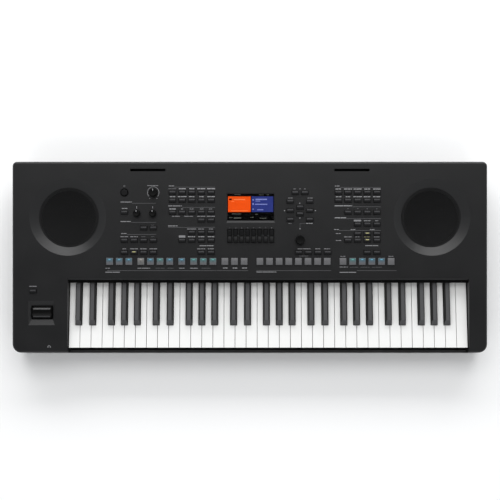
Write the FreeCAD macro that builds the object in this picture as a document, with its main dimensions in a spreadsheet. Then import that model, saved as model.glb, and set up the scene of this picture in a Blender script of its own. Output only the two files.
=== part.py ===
"""Arranger keyboard: 61 keys, two speakers, a sloping control panel and its display.

Origin at the middle of the footprint on the table, X to the player's right, Y away from the
player, Z up. Lengths are millimetres and angles are degrees.
"""

import FreeCAD, Part
import os
import re

import Sketcher

# How many of each the instrument has.
OCTAVES = 5
WHITE_KEYS = 7 * OCTAVES + 1
ROCKERS = 8
ROUND_SOCKETS = 6
USB_SOCKETS = 2

# Driving dimensions. Places on the panel are measured in the panel's own plane, from the middle of
# the body: x to the right and rows up the slope. A share is a part of the body's width for a size or
# place along x, and of its depth for one along the rows.
DIMENSIONS = {
    # Case
    "body_width": 1004,
    "body_depth": 401,
    "brow_thickness": 8.93,
    "panel_slope": 7,
    "parting_height": 44,
    "foot_height": 6,
    "case_wall": 3,
    "floor_thickness": 3,
    "front_corner_radius": 18,
    "rear_corner_radius": 10,
    "edge_radius": 5,
    "left_cheek_width": 117,
    "right_cheek_width": 39,
    "key_well_depth_share": 0.379052,
    "brow_radius": 6,
    "brow_clearance": 3,
    "lip_thickness": 6.2,
    "lip_rise": 17,
    "lip_radius": 2,
    # Keys
    "key_gap": 1,
    "key_side_clearance": 1,
    "key_front_gap": 4.3,
    "key_top_rise": 31,
    "key_body_height": 16,
    "key_wall": 2,
    "key_edge_radius": 0.8,
    "key_nose_thickness": 5,
    "key_nose_overhang": 3,
    "white_front_length": 47,
    "black_front_gap": 1,
    "black_key_width": 13.8,
    "black_key_top_width": 10,
    "black_key_rise": 12,
    "black_key_nose": 9.5,
    "black_key_back_slope": 2,
    "black_key_hidden_length": 6,
    "black_edge_radius": 1.2,
    "black_outer_offset_two": 3.1,
    "black_outer_offset_three": 3.8,
    "key_neck_gap": 0.6,
    "key_lug_margin": 2.2,
    "key_lug_length": 15,
    "key_tail_length": 29,
    "key_dip_angle": 3.1,
    "pivot_distance_share": 0.461347,
    "pivot_rise": 23,
    "pivot_rod_radius": 3,
    "running_clearance": 0.05,
    # Key bed
    "deck_thickness": 3,
    "deck_height": 43,
    "bed_wall": 3,
    "bed_front_gap": 7,
    "bed_rear_gap": 2,
    "pivot_bracket_thickness": 2.5,
    "pivot_bracket_length": 15,
    "pivot_bracket_cover": 6,
    "felt_thickness": 2.6,
    "felt_width": 16,
    "felt_setback": 18,
    "felt_rail_margin": 2,
    "felt_clearance": 0.3,
    "rest_felt_width": 9,
    "rest_felt_setback": 9,
    "guide_width": 6,
    "guide_length": 5,
    "guide_setback": 10,
    "guide_height": 17,
    "spring_radius": 2.5,
    "spring_bore": 1.8,
    "spring_setback": 5,
    "contact_board_width": 50,
    "contact_board_setback": 60,
    "board_thickness": 1.6,
    "contact_strip_width": 16,
    "contact_strip_thickness": 2,
    "contact_dome_height": 5.5,
    "contact_dome_radius": 4,
    "contact_dome_top_radius": 2.5,
    # Speakers
    "speaker_spacing_share": 0.765936,
    "speaker_row_share": 0.208978,
    "dish_radius": 81.2,
    "dish_floor_radius": 63,
    "dish_depth": 12,
    "dish_ring_width": 6,
    "grille_thickness": 1,
    "grille_clearance": 0.4,
    "basket_flange_thickness": 3,
    "basket_flange_width": 8,
    "basket_depth": 30,
    "basket_base_radius": 32,
    "basket_wall": 2,
    "cone_depth": 20,
    "cone_thickness": 1,
    "cone_neck_radius": 14,
    "magnet_radius": 36,
    "magnet_height": 16,
    # Panel controls
    "button_pitch_share": 0.020269,
    "button_gap": 5.35,
    "button_depth": 8.6,
    "button_rise": 2.2,
    "button_radius": 0.8,
    "button_clearance": 0.5,
    "button_flange": 1.2,
    "button_flange_thickness": 2,
    "button_travel": 1,
    "seat_gap": 0.3,
    "stem_width": 4,
    "pad_gap": 6.1,
    "pad_depth": 14.6,
    "pad_rise": 2,
    "pad_pitch_share": 0.020219,
    "pad_row_share": -0.023691,
    "pad_row_start_share": -0.294821,
    "pad_group_gap_share": 0.00498,
    "pad_section_gap_share": 0.012948,
    "power_button_radius": 6.6,
    "power_dish_radius": 9,
    "power_dish_depth": 1.5,
    "left_column_share": -0.263944,
    "style_column_share": -0.162749,
    "voice_column_share": 0.186155,
    "bank_column_share": 0.102689,
    "cursor_column_share": 0.105478,
    "cursor_reach_share": 0.020418,
    "page_reach_share": 0.00996,
    "top_row_share": 0.339152,
    "second_row_share": 0.297506,
    "third_row_share": 0.234414,
    "song_lower_row_share": 0.193267,
    "transpose_row_share": 0.151621,
    "function_upper_row_share": 0.128678,
    "function_lower_row_share": 0.087032,
    "bottom_row_share": 0.022943,
    "part_lower_row_share": 0.17182,
    "effect_row_share": 0.121696,
    "page_upper_row_share": 0.337656,
    "page_middle_row_share": 0.292269,
    "page_lower_row_share": 0.196259,
    "cursor_row_share": 0.24389,
    "cursor_rise_share": 0.017955,
    "cheek_button_inset": 44,
    "cheek_button_row_share": -0.180549,
    # Rotary controls
    "volume_knob_radius": 9.2,
    "live_knob_x_share": -0.237948,
    "live_knob_pitch_share": 0.033566,
    "live_knob_row_share": 0.229925,
    "live_knob_radius": 7.8,
    "knob_height": 12,
    "dial_x_share": 0.105677,
    "dial_row_share": 0.089526,
    "dial_radius": 10.2,
    "dial_height": 11,
    "knob_crown_taper": 0.8,
    "knob_edge_radius": 0.8,
    "knob_gap": 0.5,
    "shaft_radius": 3,
    "shaft_clearance": 0.6,
    "pot_width": 11,
    "pot_height": 7,
    # Rockers under the display
    "rocker_pitch_share": 0.01261,
    "rocker_middle_x_share": 0.001793,
    "rocker_row_share": 0.110723,
    "rocker_gap": 3.06,
    "rocker_length": 28,
    "rocker_rise": 2.8,
    "rocker_valley": 1.2,
    "rocker_foot_depth": 8.5,
    "rocker_end_clearance": 1,
    "rocker_rod_radius": 1.5,
    "rocker_axis_depth": 5.5,
    "rocker_lug_width": 4,
    # Display
    "display_x_share": 0.001594,
    "display_row_share": 0.261845,
    "display_width": 98.6,
    "display_depth": 56.8,
    "display_bevel": 2,
    "display_front_bevel": 4.4,
    "display_recess": 2,
    "window_margin": 4,
    "window_thickness": 1.5,
    "lcd_margin": 3,
    "lcd_thickness": 5.5,
    # Pitch wheel
    "wheel_inset": 62.2,
    "wheel_row_share": -0.293516,
    "wheel_radius": 17,
    "wheel_width": 40.8,
    "wheel_rise": 0.5,
    "wheel_groove_radius": 6,
    "wheel_groove_depth": 1.8,
    "wheel_slot_width": 45.2,
    "wheel_slot_length": 29.6,
    "wheel_ramp_width": 55.8,
    "wheel_ramp_front": 11.6,
    "wheel_ramp_rear": 10,
    "wheel_recess": 5,
    "wheel_floor": 2,
    "wheel_axle_radius": 3,
    "wheel_bracket_thickness": 3,
    "wheel_bracket_width": 16,
    "wheel_bracket_gap": 0.6,
    # Boards behind the panel
    "panel_board_depth": 16,
    "mat_thickness": 1.5,
    "mat_side_margin": 7.5,
    "mat_end_margin": 0.5,
    "panel_board_edge_share": 0.285857,
    "panel_board_front_share": 0.004988,
    "panel_board_rear_share": 0.366584,
    "left_board_end_share": -0.065737,
    "right_board_start_share": 0.074701,
    "centre_board_start_share": -0.059761,
    "centre_board_end_share": 0.069721,
    "centre_board_front_share": 0.054863,
    "centre_board_rear_share": 0.169576,
    "pad_board_edge_share": 0.314741,
    "pad_board_width": 18,
    "board_post_radius": 2.5,
    "board_post_inset": 3,
    # Music rest slots
    "rest_slot_spacing_share": 0.429283,
    "rest_slot_row_share": 0.457855,
    "rest_slot_width": 74.5,
    "rest_slot_depth": 5.4,
    "rest_socket_height": 18,
    "rest_socket_wall": 2.5,
    # Boards in the lower case
    "standoff_height": 6,
    "standoff_radius": 3.5,
    "standoff_inset": 6,
    "main_board_x_share": 0.01992,
    "main_board_front_gap": 19,
    "main_board_width": 260,
    "main_board_rear_gap": 45.5,
    "amp_board_x_share": -0.239044,
    "amp_board_front_gap": 41,
    "amp_board_width": 120,
    "amp_board_rear_gap": 43.5,
    "amp_sink_height": 30,
    "amp_sink_width": 90,
    "amp_sink_depth": 20,
    # Sockets
    "jack_bore_radius": 3.2,
    "jack_bore_depth": 28,
    "jack_size": 13,
    "jack_length": 32,
    "jack_height": 60,
    "jack_pitch": 26,
    "jack_row_x": -150,
    "jack_inset": 0.5,
    "jack_clearance": 0.2,
    "mini_jack_bore_radius": 1.8,
    "power_inlet_bore_radius": 2.8,
    "usb_x": 40,
    "usb_pitch": 26,
    "usb_width": 13,
    "usb_height": 8.5,
    "usb_length": 18,
    "usb_shell": 0.8,
    "usb_cavity_depth": 14,
    "jack_board_depth": 36,
    "phones_inset": 80.7,
    "phones_height": 62,
    # Feet and screws
    "foot_radius": 11,
    "foot_spacing_share": 0.418327,
    "foot_depth_spacing_share": 0.773067,
    "screw_radius": 1.5,
    "screw_hole_clearance": 0.1,
    "screw_length": 18,
    "screw_head_radius": 3.2,
    "screw_head_height": 2,
    "screw_post_radius": 4,
    "screw_side_inset": 21,
    "screw_rear_inset": 20,
    "screw_front_inset": 36,
    "screw_rear_x_share": 0.298805,
    "screw_middle_x_share": 0.316733,
    "screw_middle_gap": 12,
}

# Values worked out from the driving dimensions, as formulas.
DERIVED = {
    "front_edge": "-body_depth / 2",
    "rear_edge": "body_depth / 2",
    "panel_middle": "black_top + brow_clearance + brow_thickness - brow_y * tan(panel_slope)",
    "panel_rear_height": "panel_middle + rear_edge * tan(panel_slope)",
    "floor_top": "foot_height + floor_thickness",
    "keys_left": "-body_width / 2 + left_cheek_width + key_side_clearance",
    "keys_width": "body_width - left_cheek_width - right_cheek_width - 2 * key_side_clearance",
    "key_pitch": f"keys_width / {WHITE_KEYS}",
    "octave": "7 * key_pitch",
    "brow_y": "front_edge + key_well_depth",
    "key_front": "front_edge + lip_thickness + key_front_gap",
    "key_top_height": "deck_height + key_top_rise",
    "key_bottom": "key_top_height - key_body_height",
    "pivot_height": "deck_height + pivot_rise",
    "lip_height": "deck_height + lip_rise",
    "white_shoulder": "key_front + white_front_length",
    "black_front": "white_shoulder + black_front_gap",
    "black_back": "brow_y + black_key_hidden_length",
    "black_top": "key_top_height + black_key_rise",
    "pivot_y": "key_front + pivot_distance",
    "lug_start": "pivot_y - key_lug_length",
    "tail_end": "pivot_y + key_tail_length",
    "felt_front": "key_front + felt_setback",
    "felt_top": "pivot_height + (felt_front - pivot_y) * sin(key_dip_angle)"
    " - (pivot_height - key_bottom) * cos(key_dip_angle) - felt_clearance",
    "bed_front": "key_front + bed_front_gap",
    "bed_rear": "tail_end + bed_rear_gap",
    "rest_felt_front": "pivot_y + rest_felt_setback",
    "spring_y": "tail_end - spring_setback",
    "contact_row": "pivot_y - contact_board_setback - contact_board_width / 2",
    "contact_top": "deck_height + board_thickness + contact_strip_thickness",
    "stem_bottom": "-panel_board_depth + mat_thickness + button_travel + seat_gap",
    "flange_top": "-case_wall - seat_gap",
    "dish_floor": "-dish_depth",
    "dish_ring": "-dish_depth - case_wall",
    "basket_bottom": "dish_ring - basket_depth",
    "dish_opening": "dish_floor_radius - dish_ring_width",
    "cone_seat_radius": "dish_opening - basket_wall - (dish_opening - basket_base_radius)"
    " * basket_flange_thickness / (basket_depth - basket_wall) - seat_gap",
    "window_bottom": "-case_wall - window_thickness",
    "wheel_centre_depth": "wheel_radius - wheel_rise",
    "wheel_seat": "-wheel_recess - wheel_floor",
    "board_seat": "floor_top + standoff_height",
    "panel_board_bottom": "-panel_board_depth - board_thickness",
    "jack_rear": "rear_edge - jack_inset",
    "jack_board_top": "jack_height - jack_size / 2",
    "screw_middle_y": "bed_rear + screw_middle_gap",
    "main_board_y": "(bed_rear + main_board_front_gap + rear_edge - main_board_rear_gap) / 2",
    "main_board_depth": "rear_edge - main_board_rear_gap - bed_rear - main_board_front_gap",
    "amp_board_y": "(bed_rear + amp_board_front_gap + rear_edge - amp_board_rear_gap) / 2",
    "amp_board_depth": "rear_edge - amp_board_rear_gap - bed_rear - amp_board_front_gap",
    "wheel_x": "wheel_inset - body_width / 2",
    "cheek_button_x": "cheek_button_inset - body_width / 2",
    "phones_x": "phones_inset - body_width / 2",
    "button_width": "button_pitch - button_gap",
    "pad_width": "pad_pitch - pad_gap",
    "rocker_width": "rocker_pitch - rocker_gap",
    "speaker_spacing": "speaker_spacing_share * body_width",
    "pad_pitch": "pad_pitch_share * body_width",
    "pad_row_start": "pad_row_start_share * body_width",
    "pad_group_gap": "pad_group_gap_share * body_width",
    "pad_section_gap": "pad_section_gap_share * body_width",
    "left_column": "left_column_share * body_width",
    "style_column": "style_column_share * body_width",
    "voice_column": "voice_column_share * body_width",
    "bank_column": "bank_column_share * body_width",
    "cursor_column": "cursor_column_share * body_width",
    "cursor_reach": "cursor_reach_share * body_width",
    "page_reach": "page_reach_share * body_width",
    "button_pitch": "button_pitch_share * body_width",
    "live_knob_x": "live_knob_x_share * body_width",
    "live_knob_pitch": "live_knob_pitch_share * body_width",
    "dial_x": "dial_x_share * body_width",
    "rocker_pitch": "rocker_pitch_share * body_width",
    "rocker_middle_x": "rocker_middle_x_share * body_width",
    "display_x": "display_x_share * body_width",
    "panel_board_edge": "panel_board_edge_share * body_width",
    "left_board_end": "left_board_end_share * body_width",
    "right_board_start": "right_board_start_share * body_width",
    "centre_board_start": "centre_board_start_share * body_width",
    "centre_board_end": "centre_board_end_share * body_width",
    "pad_board_edge": "pad_board_edge_share * body_width",
    "rest_slot_spacing": "rest_slot_spacing_share * body_width",
    "main_board_x": "main_board_x_share * body_width",
    "amp_board_x": "amp_board_x_share * body_width",
    "foot_spacing": "foot_spacing_share * body_width",
    "screw_rear_x": "screw_rear_x_share * body_width",
    "screw_middle_x": "screw_middle_x_share * body_width",
    "key_well_depth": "key_well_depth_share * body_depth",
    "pivot_distance": "pivot_distance_share * body_depth",
    "speaker_row": "speaker_row_share * body_depth",
    "pad_row": "pad_row_share * body_depth",
    "top_row": "top_row_share * body_depth",
    "second_row": "second_row_share * body_depth",
    "third_row": "third_row_share * body_depth",
    "song_lower_row": "song_lower_row_share * body_depth",
    "transpose_row": "transpose_row_share * body_depth",
    "function_upper_row": "function_upper_row_share * body_depth",
    "function_lower_row": "function_lower_row_share * body_depth",
    "bottom_row": "bottom_row_share * body_depth",
    "part_lower_row": "part_lower_row_share * body_depth",
    "effect_row": "effect_row_share * body_depth",
    "page_upper_row": "page_upper_row_share * body_depth",
    "page_middle_row": "page_middle_row_share * body_depth",
    "page_lower_row": "page_lower_row_share * body_depth",
    "cursor_row": "cursor_row_share * body_depth",
    "cursor_rise": "cursor_rise_share * body_depth",
    "cheek_button_row": "cheek_button_row_share * body_depth",
    "wheel_row": "wheel_row_share * body_depth",
    "live_knob_row": "live_knob_row_share * body_depth",
    "dial_row": "dial_row_share * body_depth",
    "rocker_row": "rocker_row_share * body_depth",
    "display_row": "display_row_share * body_depth",
    "panel_board_front": "panel_board_front_share * body_depth",
    "panel_board_rear": "panel_board_rear_share * body_depth",
    "centre_board_front": "centre_board_front_share * body_depth",
    "centre_board_rear": "centre_board_rear_share * body_depth",
    "rest_slot_row": "rest_slot_row_share * body_depth",
    "foot_depth_spacing": "foot_depth_spacing_share * body_depth",
}

DOCUMENT = FreeCAD.newDocument("arranger_keyboard")
SHEET = DOCUMENT.addObject("Spreadsheet::Sheet", "dims")
SUB_PARTS = []
X_AXIS = FreeCAD.Vector(1, 0, 0)
Y_AXIS = FreeCAD.Vector(0, 1, 0)
NO_MOVE = FreeCAD.Vector(0, 0, 0)
TOLERANCE = 0.01


def fill_sheet():
    """Write every driving dimension to the sheet under its own alias."""
    for row, (name, size) in enumerate(DIMENSIONS.items(), start=1):
        SHEET.set(f"A{row}", name)
        SHEET.set(f"B{row}", str(size))
        SHEET.setAlias(f"B{row}", name)
    DOCUMENT.recompute()


def formula(text):
    """Turn plain dimension names into references to the sheet's cells."""

    def reference(match):
        name = match.group(0)
        if name in DERIVED:
            return f"({formula(DERIVED[name])})"
        return f"dims.{name}" if name in DIMENSIONS else name

    return re.sub(r"[A-Za-z_]\w*", reference, text)


def size_of(text):
    """Present value of a formula."""
    found = SHEET.evalExpression(formula(text))
    return float(getattr(found, "Value", found))


def bind(item, **sizes):
    """Tie properties of a document object to formulas."""
    for name, text in sizes.items():
        item.setExpression(name, formula(text))
    return item


def place(item, where, prefix="Placement"):
    """Tie an object's position to three formulas."""
    for letter, text in zip("xyz", where):
        item.setExpression(f"{prefix}.Base.{letter}", formula(text))
    return item


def on_panel(item):
    """Stand an object drawn in panel coordinates on the sloping panel."""
    item.Placement = FreeCAD.Placement(NO_MOVE, FreeCAD.Rotation(X_AXIS, DIMENSIONS["panel_slope"]))
    item.setExpression("Placement.Base.z", formula("panel_middle"))
    item.setExpression("Placement.Rotation.Angle", formula("panel_slope"))
    return item


def box(name, corner, size):
    """Block from its low corner and its three sizes."""
    block = DOCUMENT.addObject("Part::Box", name)
    bind(block, Length=size[0], Width=size[1], Height=size[2])
    return place(block, corner)


def block_about(name, x, y, bottom, width, depth, height):
    """Block centred on x and y, standing on its bottom."""
    return box(name, (f"{x} - ({width}) / 2", f"{y} - ({depth}) / 2", bottom), (width, depth, height))


def cylinder(name, base, radius, height, axis=None):
    """Round bar from its base centre, upright or along the X or Y axis."""
    bar = DOCUMENT.addObject("Part::Cylinder", name)
    if axis == "x":
        bar.Placement = FreeCAD.Placement(NO_MOVE, FreeCAD.Rotation(Y_AXIS, 90))
    if axis == "y":
        bar.Placement = FreeCAD.Placement(NO_MOVE, FreeCAD.Rotation(X_AXIS, -90))
    bind(bar, Radius=radius, Height=height)
    return place(bar, base)


def cone(name, base, low_radius, high_radius, height):
    """Upright frustum from its base centre."""
    frustum = DOCUMENT.addObject("Part::Cone", name)
    bind(frustum, Radius1=low_radius, Radius2=high_radius, Height=height)
    return place(frustum, base)


def tapered_well(name, x, low, high, bottom, height):
    """Rectangular funnel: low and high are (width, front row, rear row) at its floor and its mouth."""
    well = DOCUMENT.addObject("Part::Wedge", name)
    well.Placement = FreeCAD.Placement(NO_MOVE, FreeCAD.Rotation(X_AXIS, 90))
    bind(well, Xmin=f"-({low[0]}) / 2", Xmax=f"({low[0]}) / 2", Zmin=f"-({low[2]})", Zmax=f"-({low[1]})")
    bind(well, X2min=f"-({high[0]}) / 2", X2max=f"({high[0]}) / 2")
    bind(well, Z2min=f"-({high[2]})", Z2max=f"-({high[1]})", Ymin="0", Ymax=height)
    return place(well, (x, "0", bottom))


def fuse(name, pieces):
    """One solid from overlapping or touching pieces."""
    joined = DOCUMENT.addObject("Part::MultiFuse", name)
    joined.Shapes = pieces
    joined.Refine = True
    return joined


def cut(name, base, tool):
    """Base with the tool taken away."""
    remains = DOCUMENT.addObject("Part::Cut", name)
    remains.Base = base
    remains.Tool = tool
    remains.Refine = True
    return remains


def group(name, pieces):
    """Separate pieces kept together as one object."""
    together = DOCUMENT.addObject("Part::Compound", name)
    together.Links = pieces
    return together


def repeat(name, source, places):
    """Copies of one piece, each moved by formulas for x, y and z."""
    copies = []
    for index, where in enumerate(places):
        copy = DOCUMENT.addObject("App::Link", f"{name}_copy_{index}")
        copy.LinkedObject = source
        copy.LinkTransform = True
        copies.append(place(copy, where, "LinkPlacement"))
    return group(name, copies)


def publish(item, label):
    """Mark an object as a finished sub-part under its label."""
    item.Label = label
    SUB_PARTS.append(item)
    return item


def origin_plane(body, role):
    """One of a body's own origin planes."""
    return next(item for item in body.Origin.OriginFeatures if item.Role == role)


def facing(feature, direction):
    """Names of a feature's flat faces that look along a direction, highest along it first."""
    found = []
    for index, face in enumerate(feature.Shape.Faces, start=1):
        if face.Surface.TypeId != "Part::GeomPlane":
            continue
        if face.normalAt(0, 0).getAngle(direction) < TOLERANCE:
            found.append((face.CenterOfMass.dot(direction), f"Face{index}"))
    top = max(height for height, _ in found)
    return [name for height, name in found if top - height < TOLERANCE]


def soften(body, direction, radius):
    """Round every edge of the outermost flat face that looks along a direction."""
    DOCUMENT.recompute()
    feature = body.Tip
    rounding = body.newObject("PartDesign::Fillet", f"{body.Name}_rounding")
    rounding.Base = (feature, facing(feature, direction))
    bind(rounding, Radius=radius)
    body.Tip = rounding
    return body


def add_block(body, name, corner, size, kind="Additive"):
    """Block added to or taken from a body."""
    block = body.newObject(f"PartDesign::{kind}Box", name)
    bind(block, Length=size[0], Width=size[1], Height=size[2])
    return place(block, corner)


def take_block(body, name, corner, size):
    """Block taken from a body."""
    return add_block(body, name, corner, size, "Subtractive")


def add_bar(body, name, base, radius, height, kind="Additive", axis=None):
    """Round bar added to or taken from a body, upright or along X."""
    bar = body.newObject(f"PartDesign::{kind}Cylinder", name)
    if axis == "x":
        bar.Placement = FreeCAD.Placement(NO_MOVE, FreeCAD.Rotation(Y_AXIS, 90))
    bind(bar, Radius=radius, Height=height)
    return place(bar, base)


def new_body(name):
    """Empty body."""
    return DOCUMENT.addObject("PartDesign::Body", name)


def footprint(body, inset, height):
    """Sketch of the case's rounded outline, drawn in by an inset, at a height."""
    outline = body.newObject("Sketcher::SketchObject", f"{body.Name}_outline")
    outline.AttachmentSupport = (origin_plane(body, "XY_Plane"), [""])
    outline.MapMode = "FlatFace"
    outline.setExpression("AttachmentOffset.Base.z", formula(height))
    right = size_of(f"body_width / 2 - ({inset})")
    rear = size_of(f"body_depth / 2 - ({inset})")
    turns = (
        (right, -rear, size_of(f"front_corner_radius - ({inset})"), -90),
        (right, rear, size_of(f"rear_corner_radius - ({inset})"), 0),
        (-right, rear, size_of(f"rear_corner_radius - ({inset})"), 90),
        (-right, -rear, size_of(f"front_corner_radius - ({inset})"), 180),
    )
    arcs = []
    for x, y, radius, start in turns:
        centre = FreeCAD.Vector(x - radius if x > 0 else x + radius, y - radius if y > 0 else y + radius, 0)
        circle = Part.Circle(centre, FreeCAD.Vector(0, 0, 1), radius)
        first = FreeCAD.Units.Quantity(f"{start} deg").getValueAs("rad").Value
        last = FreeCAD.Units.Quantity(f"{start + 90} deg").getValueAs("rad").Value
        arcs.append(Part.ArcOfCircle(circle, first, last))
    for index, arc in enumerate(arcs):
        outline.addGeometry(Part.LineSegment(arcs[index - 1].EndPoint, arc.StartPoint))
        outline.addGeometry(arc)
    sides = ("front", "right", "rear", "left")
    for index in range(4):
        line, corner, following = 2 * index, 2 * index + 1, (2 * index + 2) % 8
        outline.addConstraint(Sketcher.Constraint("Tangent", line, 2, corner, 1))
        outline.addConstraint(Sketcher.Constraint("Tangent", corner, 2, following, 1))
        level = "Horizontal" if sides[index] in ("front", "rear") else "Vertical"
        outline.addConstraint(Sketcher.Constraint(level, line))
    bounds = (
        ("front_reach", Sketcher.Constraint("DistanceY", 0, 1, -1, 1, rear), "body_depth / 2"),
        ("right_reach", Sketcher.Constraint("DistanceX", -1, 1, 2, 1, right), "body_width / 2"),
        ("rear_reach", Sketcher.Constraint("DistanceY", -1, 1, 4, 1, rear), "body_depth / 2"),
        ("left_reach", Sketcher.Constraint("DistanceX", 6, 1, -1, 1, right), "body_width / 2"),
        ("front_right", Sketcher.Constraint("Radius", 1, turns[0][2]), "front_corner_radius"),
        ("rear_right", Sketcher.Constraint("Radius", 3, turns[1][2]), "rear_corner_radius"),
        ("rear_left", Sketcher.Constraint("Radius", 5, turns[2][2]), "rear_corner_radius"),
        ("front_left", Sketcher.Constraint("Radius", 7, turns[3][2]), "front_corner_radius"),
    )
    for name, constraint, text in bounds:
        outline.renameConstraint(outline.addConstraint(constraint), name)
        outline.setExpression(f"Constraints.{name}", formula(f"{text} - ({inset})"))
    return outline


def case_block(name, inset, bottom, height):
    """Upright block with the case's outline."""
    body = new_body(name)
    outline = footprint(body, inset, bottom)
    raised = body.newObject("PartDesign::Pad", f"{name}_pad")
    raised.Profile = outline
    bind(raised, Length=height)
    return body


def slope_cut(body, drop):
    """Take away what stands above the panel's plane, lowered by a drop."""
    above = take_block(
        body,
        f"{body.Name}_above_panel",
        (
            "-body_width",
            f"-body_depth * cos(panel_slope) + ({drop}) * sin(panel_slope)",
            f"panel_middle - body_depth * sin(panel_slope) - ({drop}) * cos(panel_slope)",
        ),
        ("2 * body_width", "2 * body_depth", "panel_rear_height"),
    )
    turn = FreeCAD.Rotation(X_AXIS, DIMENSIONS["panel_slope"])
    above.Placement = FreeCAD.Placement(above.Placement.Base, turn)
    above.setExpression("Placement.Rotation.Angle", formula("panel_slope"))
    return body


# Where the keys of one octave stand: black key centres and white key neighbours.
BLACK_CENTRES = {
    "c_sharp": "key_pitch - black_outer_offset_two",
    "d_sharp": "2 * key_pitch + black_outer_offset_two",
    "f_sharp": "4 * key_pitch - black_outer_offset_three",
    "g_sharp": "5 * key_pitch",
    "a_sharp": "6 * key_pitch + black_outer_offset_three",
}
WHITE_NEIGHBOURS = {
    "c": (None, "c_sharp"),
    "d": ("c_sharp", "d_sharp"),
    "e": ("d_sharp", None),
    "f": (None, "f_sharp"),
    "g": ("f_sharp", "g_sharp"),
    "a": ("g_sharp", "a_sharp"),
    "b": ("a_sharp", None),
}


def octave_start(index):
    """Formula for the left edge of an octave."""
    return f"keys_left + {index} * octave"


def white_neck(note):
    """Formulas for the left and right sides of a white key's neck, from its octave's left edge."""
    index = list(WHITE_NEIGHBOURS).index(note)
    below, above = WHITE_NEIGHBOURS[note]
    left = f"{index} * key_pitch + key_gap / 2"
    right = f"{index + 1} * key_pitch - key_gap / 2"
    if below:
        left = f"{BLACK_CENTRES[below]} + black_key_width / 2 + key_neck_gap"
    if above:
        right = f"{BLACK_CENTRES[above]} - black_key_width / 2 - key_neck_gap"
    return left, right


def key_places():
    """Formulas for the middle of all 61 key tails."""
    middles = list(BLACK_CENTRES.values())
    middles += ["({} + {}) / 2".format(*white_neck(note)) for note in WHITE_NEIGHBOURS]
    places = [f"{octave_start(index)} + {middle}" for index in range(OCTAVES) for middle in middles]
    return places + [f"{octave_start(OCTAVES)} + key_pitch / 2"]


def add_key_tail(body, left, right):
    """Bearing lug with its bore for the pivot rod."""
    add_block(
        body,
        f"{body.Name}_lug",
        (f"{left} + key_lug_margin", "lug_start - key_wall", "key_bottom"),
        (
            f"{right} - ({left}) - 2 * key_lug_margin",
            "tail_end - lug_start + key_wall",
            "key_body_height - key_wall",
        ),
    )
    add_bar(
        body,
        f"{body.Name}_bore",
        (f"{left} - key_pitch", "pivot_y", "pivot_height"),
        "pivot_rod_radius + running_clearance",
        "4 * key_pitch",
        "Subtractive",
        "x",
    )


def white_key(note, left, neck_left, neck_right):
    """Hollow white key: nose, wide front, neck and bearing lug."""
    body = new_body(f"white_{note}")
    width = "key_pitch - key_gap"
    wall_start = "key_front + key_nose_overhang"
    add_block(
        body,
        f"nose_{note}",
        (left, "key_front", "key_top_height - key_nose_thickness"),
        (width, "white_front_length", "key_nose_thickness"),
    )
    add_block(
        body,
        f"front_{note}",
        (left, wall_start, "key_bottom"),
        (width, "white_front_length - key_nose_overhang", "key_body_height"),
    )
    add_block(
        body,
        f"neck_{note}",
        (neck_left, "white_shoulder - key_wall", "key_bottom"),
        (f"{neck_right} - ({neck_left})", "lug_start - white_shoulder + key_wall", "key_body_height"),
    )
    take_block(
        body,
        f"front_hollow_{note}",
        (f"{left} + key_wall", f"{wall_start} + key_wall", "key_bottom"),
        (
            f"{width} - 2 * key_wall",
            "white_front_length - key_nose_overhang - 2 * key_wall",
            "key_body_height - key_wall",
        ),
    )
    take_block(
        body,
        f"neck_hollow_{note}",
        (f"{neck_left} + key_wall", f"{wall_start} + key_wall", "key_bottom"),
        (
            f"{neck_right} - ({neck_left}) - 2 * key_wall",
            f"lug_start - ({wall_start}) - 2 * key_wall",
            "key_body_height - key_wall",
        ),
    )
    add_key_tail(body, neck_left, neck_right)
    return soften(body, FreeCAD.Vector(0, 0, 1), "key_edge_radius")


def black_key(note, middle):
    """Black key: hollow base, tapered finger piece and bearing lug."""
    body = new_body(f"black_{note}")
    left = f"{middle} - black_key_width / 2"
    right = f"{middle} + black_key_width / 2"
    add_block(
        body,
        f"base_{note}",
        (left, "black_front", "key_bottom"),
        ("black_key_width", "lug_start - black_front", "key_body_height"),
    )
    finger = body.newObject("PartDesign::AdditiveWedge", f"finger_{note}")
    finger.Placement = FreeCAD.Placement(NO_MOVE, FreeCAD.Rotation(X_AXIS, 90))
    bind(finger, Xmin="-black_key_width / 2", Xmax="black_key_width / 2")
    bind(finger, X2min="-black_key_top_width / 2", X2max="black_key_top_width / 2")
    bind(finger, Zmin="-(black_back)", Zmax="-(black_front)", Ymin="0", Ymax="black_key_rise")
    bind(finger, Z2min="black_key_back_slope - (black_back)", Z2max="-(black_front) - black_key_nose")
    place(finger, (middle, "0", "key_top_height"))
    take_block(
        body,
        f"base_hollow_{note}",
        (f"{left} + key_wall", "black_front + key_wall", "key_bottom"),
        (
            "black_key_width - 2 * key_wall",
            "lug_start - black_front - 2 * key_wall",
            "key_body_height - key_wall",
        ),
    )
    add_key_tail(body, left, right)
    return soften(body, FreeCAD.Vector(0, 0, 1), "black_edge_radius")


def make_keys():
    """One sub-part for each note name, with a key in every octave."""
    places = [(octave_start(number), "0", "0") for number in range(OCTAVES)]
    for index, note in enumerate(WHITE_NEIGHBOURS):
        key = white_key(note, f"{index} * key_pitch + key_gap / 2", *white_neck(note))
        keys = repeat(f"row_of_{note}", key, places)
        if note == "c":
            last = white_key("last", "key_gap / 2", "key_gap / 2", "key_pitch - key_gap / 2")
            top_key = repeat("top_key", last, [(octave_start(OCTAVES), "0", "0")])
            keys = group("row_of_c_with_top", keys.Links + top_key.Links)
        publish(keys, f"keys_{note}")
    for note, middle in BLACK_CENTRES.items():
        key = black_key(note, middle)
        publish(repeat(f"row_of_{note}", key, places), f"keys_{note}")


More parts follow.
